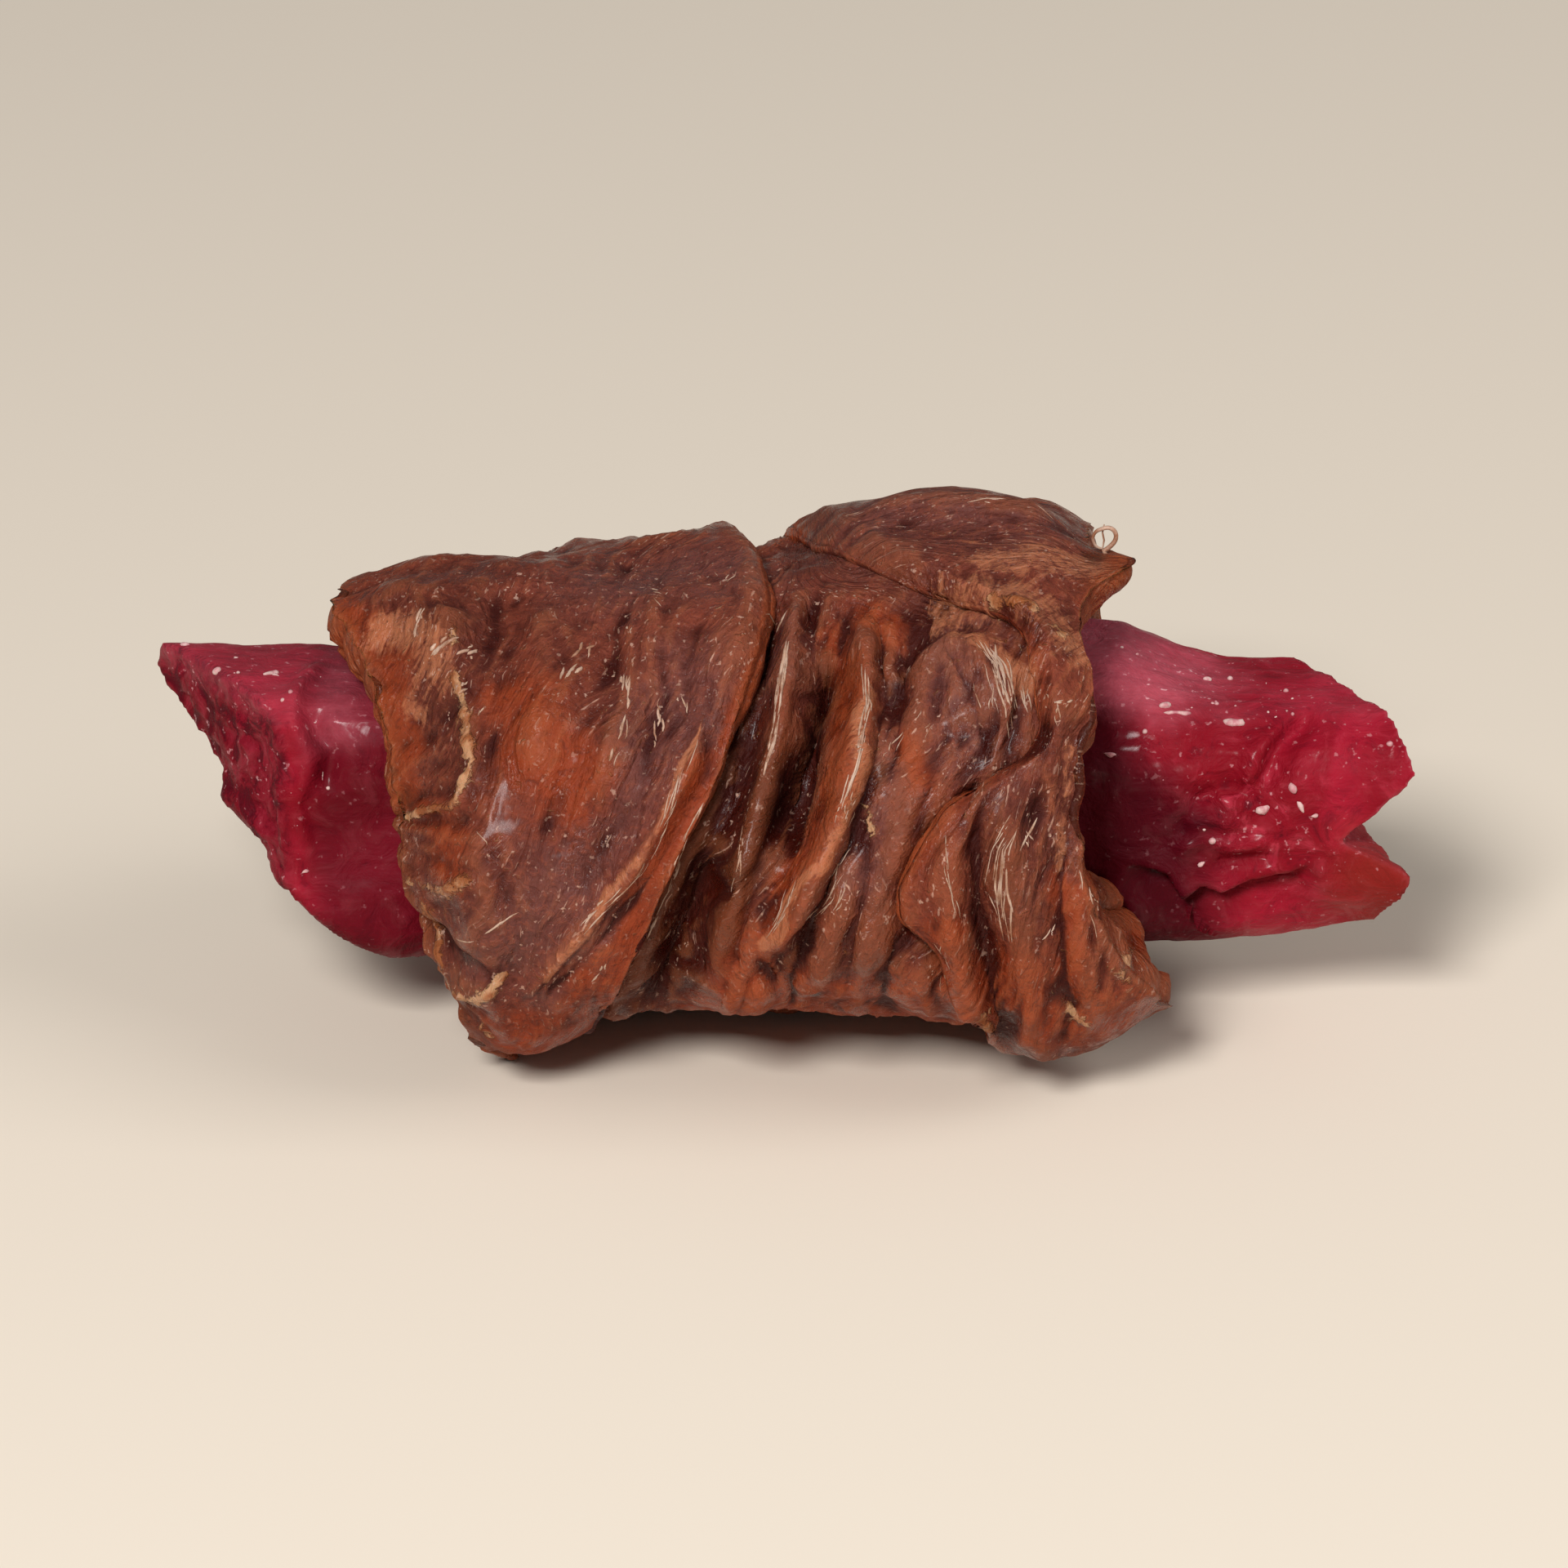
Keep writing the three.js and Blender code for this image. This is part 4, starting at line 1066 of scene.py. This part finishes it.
class Finish:
    """A material whose nodes are added one call at a time."""

    def __init__(self, name, colour):
        self.colour = colour
        self.material = bpy.data.materials.new(name)
        self.material.use_nodes = True
        self.nodes = self.material.node_tree.nodes
        self.links = self.material.node_tree.links
        self.shader = self.nodes["Principled BSDF"]

    def put(self, socket, value):
        if isinstance(value, Number):
            self.links.new(value.socket, socket)
        elif isinstance(value, bpy.types.NodeSocket):
            self.links.new(value, socket)
        else:
            socket.default_value = value

    def node(self, kind, settings=None, inputs=None, output=0):
        made = self.nodes.new(kind)
        for key, value in (settings or {}).items():
            setattr(made, key, value)
        for key, value in (inputs or {}).items():
            self.put(made.inputs[key], value)
        return Number(self, made.outputs[output])

    def attributes(self, *names):
        return [self.node("ShaderNodeAttribute", {"attribute_name": name}, output="Fac") for name in names]

    def place(self):
        return self.node("ShaderNodeTexCoord", output="Object")

    def uv(self, name):
        return self.node("ShaderNodeUVMap", {"uv_map": name})

    def stretched(self, vector, scale):
        return self.node("ShaderNodeMapping", {}, {"Vector": vector, "Scale": scale})

    def noise(self, vector, scale=1.0, detail=3.0, rough=0.55, warp=0.0):
        inputs = {"Vector": vector, "Scale": scale, "Detail": detail, "Roughness": rough}
        inputs["Distortion"] = warp
        return self.node("ShaderNodeTexNoise", {}, inputs)

    def cracks(self, vector, uneven):
        """The distance to the nearest edge between cells."""
        inputs = {"Vector": vector, "Scale": 1.0, "Randomness": uneven}
        return self.node("ShaderNodeTexVoronoi", {"feature": "DISTANCE_TO_EDGE"}, inputs)

    def step(self, value, low, high):
        inputs = {"Value": value, "From Min": low, "From Max": high}
        return self.node("ShaderNodeMapRange", {"interpolation_type": "SMOOTHSTEP"}, inputs)

    def blend(self, part, first, second):
        inputs = {0: part, 6: (*first, 1) if isinstance(first, tuple) else first}
        inputs[7] = (*second, 1) if isinstance(second, tuple) else second
        return self.node("ShaderNodeMix", {"data_type": "RGBA"}, inputs, output=2)

    def paint(self, part, colour):
        """Lays a colour over those before it, as far as a value from 0 to 1 says."""
        self.colour = self.blend(part, self.colour, colour)

    def bump(self, height, strength, distance):
        inputs = {"Height": height, "Strength": strength, "Distance": distance}
        return self.node("ShaderNodeBump", {}, inputs)

    def set(self, **sockets):
        for name, value in sockets.items():
            self.put(self.shader.inputs[name.replace("_", " ")], value)


def duck_finish():
    finish = Finish("dried_duck", (0.172, 0.034, 0.017))
    fibres = finish.uv("fibres")
    place = finish.place()
    pale, tan, orange, purple = finish.attributes("pale", "tan", "orange", "purple")
    hollow_shade, crest, rim = finish.attributes("hollow_shade", "crest", "rim")

    strands = finish.noise(finish.stretched(fibres, (17, 4.5, 1)), 1.0, 4.0, 0.62, 1.2)
    ragged = finish.noise(place, 2300.0, 3.0, 0.65, 0.8)
    tan = finish.step(tan + ragged * 2.0 - 1.0, 0.3, 0.62)
    orange = finish.step(orange + ragged * 0.6 - 0.3, 0.1, 0.9)
    pale = finish.step(pale + strands * 1.6 + ragged * 0.8 - 1.2, 0.35, 0.85)
    dashes = finish.noise(finish.stretched(fibres, (60, 17, 1)), 1.0, 2.0, 0.6, 0.6)
    creases = finish.cracks(finish.stretched(fibres, (11, 3.2, 1)), 0.9)
    clusters = finish.step(finish.noise(place, 300.0, 2.0, 0.5), 0.44, 0.62)
    blotches = finish.noise(place, 420.0, 4.0, 0.62, 0.6)
    patches = finish.noise(place, 130.0, 2.0, 0.5, 0.9)
    dust = finish.noise(place, 3400.0, 2.0, 0.6)
    plain = 1 - orange * 0.6

    finish.paint(finish.step(patches, 0.38, 0.64), (0.102, 0.021, 0.012))
    finish.paint(purple * 0.9, (0.125, 0.038, 0.03))
    # Orange: the meat's own orange patches, and at the lapped edges partly painted glow of light through
    # the thin meat.
    finish.paint(orange * 0.85, (0.24, 0.035, 0.0085))
    finish.paint(finish.step(blotches, 0.5, 0.7) * 0.5, (0.085, 0.016, 0.01))
    pale_strands = finish.step(strands, 0.54, 0.74) * (clusters * 0.35 + 0.06)
    finish.paint(pale_strands * plain, (0.32, 0.09, 0.04))
    finish.paint(finish.step(strands, 0.46, 0.3) * 0.22, (0.06, 0.009, 0.005))
    finish.paint(finish.step(creases, 0.06, 0.0) * 0.15, (0.045, 0.006, 0.003))
    finish.paint(finish.step(ragged, 0.5, 0.66) * 0.3 * plain, (0.3, 0.072, 0.036))
    finish.paint(finish.step(ragged, 0.48, 0.32) * 0.4, (0.055, 0.009, 0.006))
    # Painted shade in the hollows and the recesses of the floor.
    finish.paint(hollow_shade * 0.92, (0.032, 0.003, 0.0018))
    # Crests painted lighter: partly paler worn meat, partly painted highlight.
    finish.paint(crest * 0.18, (0.44, 0.14, 0.055))
    # Rims painted orange: partly the meat's own colour, partly painted glow of light through the thin
    # edges.
    finish.paint(rim * 0.25, (0.26, 0.07, 0.02))
    finish.paint(pale * 0.62, (0.44, 0.155, 0.072))
    scraps = finish.blend(finish.step(blotches, 0.42, 0.6), (0.26, 0.08, 0.025), (0.5, 0.27, 0.14))
    finish.paint(tan * 0.85, scraps)
    glints = finish.step(dashes, 0.62, 0.7) * (clusters * 0.45 + crest * 0.2)
    finish.paint(glints * plain, (0.56, 0.33, 0.24))
    specks = finish.step(dust, 0.64, 0.72) * (0.3 + clusters * 0.3)
    finish.paint(specks * plain, (0.58, 0.36, 0.27))

    relief = strands * 0.28 + dashes * 0.3 + blotches * 0.4 + ragged * 0.42
    relief = relief + finish.step(creases, 0.0, 0.14) * 0.16 + tan * 0.5
    oil = finish.step(finish.noise(place, 520.0, 3.0, 0.6), 0.45, 0.6)
    finish.set(
        Base_Color=finish.colour,
        Roughness=0.6 - oil * 0.38 + dashes * 0.06,
        Coat_Weight=oil * 0.16,
        Normal=finish.bump(relief, 0.8, 0.0004),
    )
    finish.set(
        Coat_Roughness=0.16,
        Coat_IOR=1.35,
        Subsurface_Weight=0.15,
        Subsurface_Radius=(1.0, 0.22, 0.08),
        Subsurface_Scale=0.0008,
        Specular_IOR_Level=0.13,
    )
    return finish.material


def potato_finish():
    finish = Finish("dried_sweet_potato", (0.2, 0.003, 0.01))
    place = finish.place()
    rough, skin, dust_and_lit_top, cut, painted_shade = finish.attributes("rough", "skin", "dust_and_lit_top", "cut", "painted_shade")
    grain = finish.noise(finish.stretched(place, (260, 1500, 1500)), 1.0, 3.0, 0.6, 0.3)
    mottle = finish.noise(place, 700.0, 4.0, 0.68, 0.9)
    clouds = finish.noise(place, 150.0, 3.0, 0.55, 0.5)
    dust = finish.noise(place, 3000.0, 2.0, 0.6)

    finish.paint(finish.step(clouds, 0.38, 0.64), (0.33, 0.009, 0.026))
    finish.paint(finish.step(mottle, 0.52, 0.7) * (0.2 + rough * 0.55), (0.42, 0.026, 0.05))
    finish.paint(finish.step(mottle, 0.47, 0.3) * (0.25 + rough * 0.6), (0.06, 0.0012, 0.006))
    finish.paint(finish.step(grain, 0.58, 0.8) * 0.22, (0.42, 0.04, 0.065))
    # The left cut face is painted darker: partly its own darker, mottled flesh, partly painted shade.
    finish.paint(cut * (0.45 + finish.step(mottle, 0.52, 0.42) * 0.45), (0.07, 0.0016, 0.0065))
    # Painted shade beside the wrap, in dark crimson; the specks below are fewer in it.
    finish.paint(painted_shade * 0.9, (0.048, 0.001, 0.0045))
    # Dust and painted light on the top: pale lilac pink.
    finish.paint(dust_and_lit_top * (0.45 + dust * 0.6), (0.44, 0.08, 0.11))
    finish.paint(skin * 0.55, (0.22, 0.02, 0.01))
    speckle = finish.step(dust, 0.64, 0.74) * (0.2 + dust_and_lit_top * 0.6 + rough * 0.35) * (1 - painted_shade * 0.7)
    finish.paint(speckle, (0.66, 0.32, 0.34))

    relief = grain * 0.4 + mottle * (0.5 + rough * 0.9) + dust * 0.1
    finish.set(
        Base_Color=finish.colour,
        Roughness=0.48 + mottle * 0.2,
        Coat_Weight=finish.step(mottle, 0.46, 0.6) * 0.18,
        Normal=finish.bump(relief, 0.6, 0.00035),
    )
    finish.set(
        Coat_Roughness=0.18,
        Subsurface_Weight=0.12,
        Subsurface_Radius=(1.0, 0.08, 0.12),
        Subsurface_Scale=0.0008,
        Specular_IOR_Level=0.07,
    )
    return finish.material


def small_finish(name, size, steps, pale, dark, roughness, bump, **others):
    """A mottled material for crumbs and threads, of two colours."""
    finish = Finish(name, pale)
    cloud = finish.noise(finish.place(), size, 3.0, 0.6)
    finish.paint(finish.step(cloud, *steps), dark)
    finish.set(Base_Color=finish.colour, Roughness=roughness + cloud * 0.2)
    finish.set(Normal=finish.bump(cloud, *bump), **others)
    return finish.material


def starch_finish():
    pale, dark = (0.6, 0.4, 0.37), (0.46, 0.16, 0.18)
    return small_finish("dried_starch", 2200.0, (0.4, 0.65), pale, dark, 0.55, (0.4, 0.0002))


def sinew_and_glint_finish():
    pale, dark = (0.5, 0.32, 0.23), (0.27, 0.11, 0.055)
    glow = {"Subsurface_Weight": 0.2, "Subsurface_Radius": (1.0, 0.6, 0.4), "Subsurface_Scale": 0.0004}
    return small_finish("dried_sinew_and_glint", 1500.0, (0.35, 0.7), pale, dark, 0.4, (0.3, 0.0001), **glow)


def floor_finish():
    finish = Finish("studio_floor", (0.8, 0.7, 0.58))
    finish.set(Base_Color=(*finish.colour, 1), Roughness=0.9)
    return finish.material


# The camera of the photograph, in millimetres, with a longer lens that frames this chew alone
CAMERA_AT = np.array([25.35, -393.67, 190.8])
CAMERA_WAY = Vector((-0.05717, 0.9073, -0.41658))
CAMERA_RIGHT = Vector((0.99992, -0.01263, 0.00137))
VIEW_ANGLE = 8.504
SENSOR_WIDTH = 36
CLIP_START = 0.01

# The floor, a hair below the part, and the lights: place and size in metres, power in watts
FLOOR_SIZE = 3.0
FLOOR_Z = -0.00002
KEY_LIGHT = ((-0.11, -0.46, 0.4), 0.16, 3.8)
FILL_LIGHT = ((0.46, -0.16, 0.4), 0.36, 1.4)
LIT_PLACE = Vector((0, 0, 0.01))
WORLD_STRENGTH = 0.17


def make_camera():
    camera = add_object("camera", bpy.data.cameras.new("camera"))
    way = CAMERA_WAY.normalized()
    right = (CAMERA_RIGHT - way * CAMERA_RIGHT.dot(way)).normalized()
    up = right.cross(way)
    turned = Matrix((right, up, -way)).transposed().to_4x4()
    camera.matrix_world = Matrix.Translation(to_metres(CAMERA_AT)) @ turned
    camera.data.sensor_width = SENSOR_WIDTH
    camera.data.lens = SENSOR_WIDTH / 2 / math.tan(math.radians(VIEW_ANGLE / 2))
    camera.data.clip_start = CLIP_START
    bpy.context.scene.camera = camera


def make_light(name, place, size, power):
    """A square soft light that faces the chew."""
    light = bpy.data.lights.new(name, "AREA")
    light.size = size
    light.energy = power
    lamp = add_object(name, light)
    lamp.location = place
    lamp.rotation_euler = (LIT_PLACE - Vector(place)).to_track_quat("-Z", "Y").to_euler()


def make_studio():
    bpy.ops.mesh.primitive_plane_add(size=FLOOR_SIZE, location=(0, 0, FLOOR_Z))
    floor = bpy.context.object
    floor.name = "studio_floor"
    floor.data.materials.append(floor_finish())
    make_light("key_light", *KEY_LIGHT)
    make_light("fill_light", *FILL_LIGHT)
    world = bpy.data.worlds.new("studio")
    world.use_nodes = True
    world.node_tree.nodes["Background"].inputs["Color"].default_value = (1, 1, 1, 1)
    world.node_tree.nodes["Background"].inputs["Strength"].default_value = WORLD_STRENGTH
    bpy.context.scene.world = world
    bpy.context.scene.view_settings.view_transform = "Standard"


make_camera()
make_studio()

wrap = make_wrap()
wrap.data.materials.append(duck_finish())
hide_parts("duck_wrap")
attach(wrap, "root")

stick = make_stick()
stick.data.materials.clear()
stick.data.materials.append(potato_finish())
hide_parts("sweet_potato_stick")
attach(stick, "root")

flecks = make_flecks(stick)
flecks.data.materials.append(starch_finish())
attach(flecks, "root")

for piece in (make_sinew_and_glint_threads(wrap), make_curl(wrap)):
    piece.data.materials.append(sinew_and_glint_finish())
    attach(piece, "root")
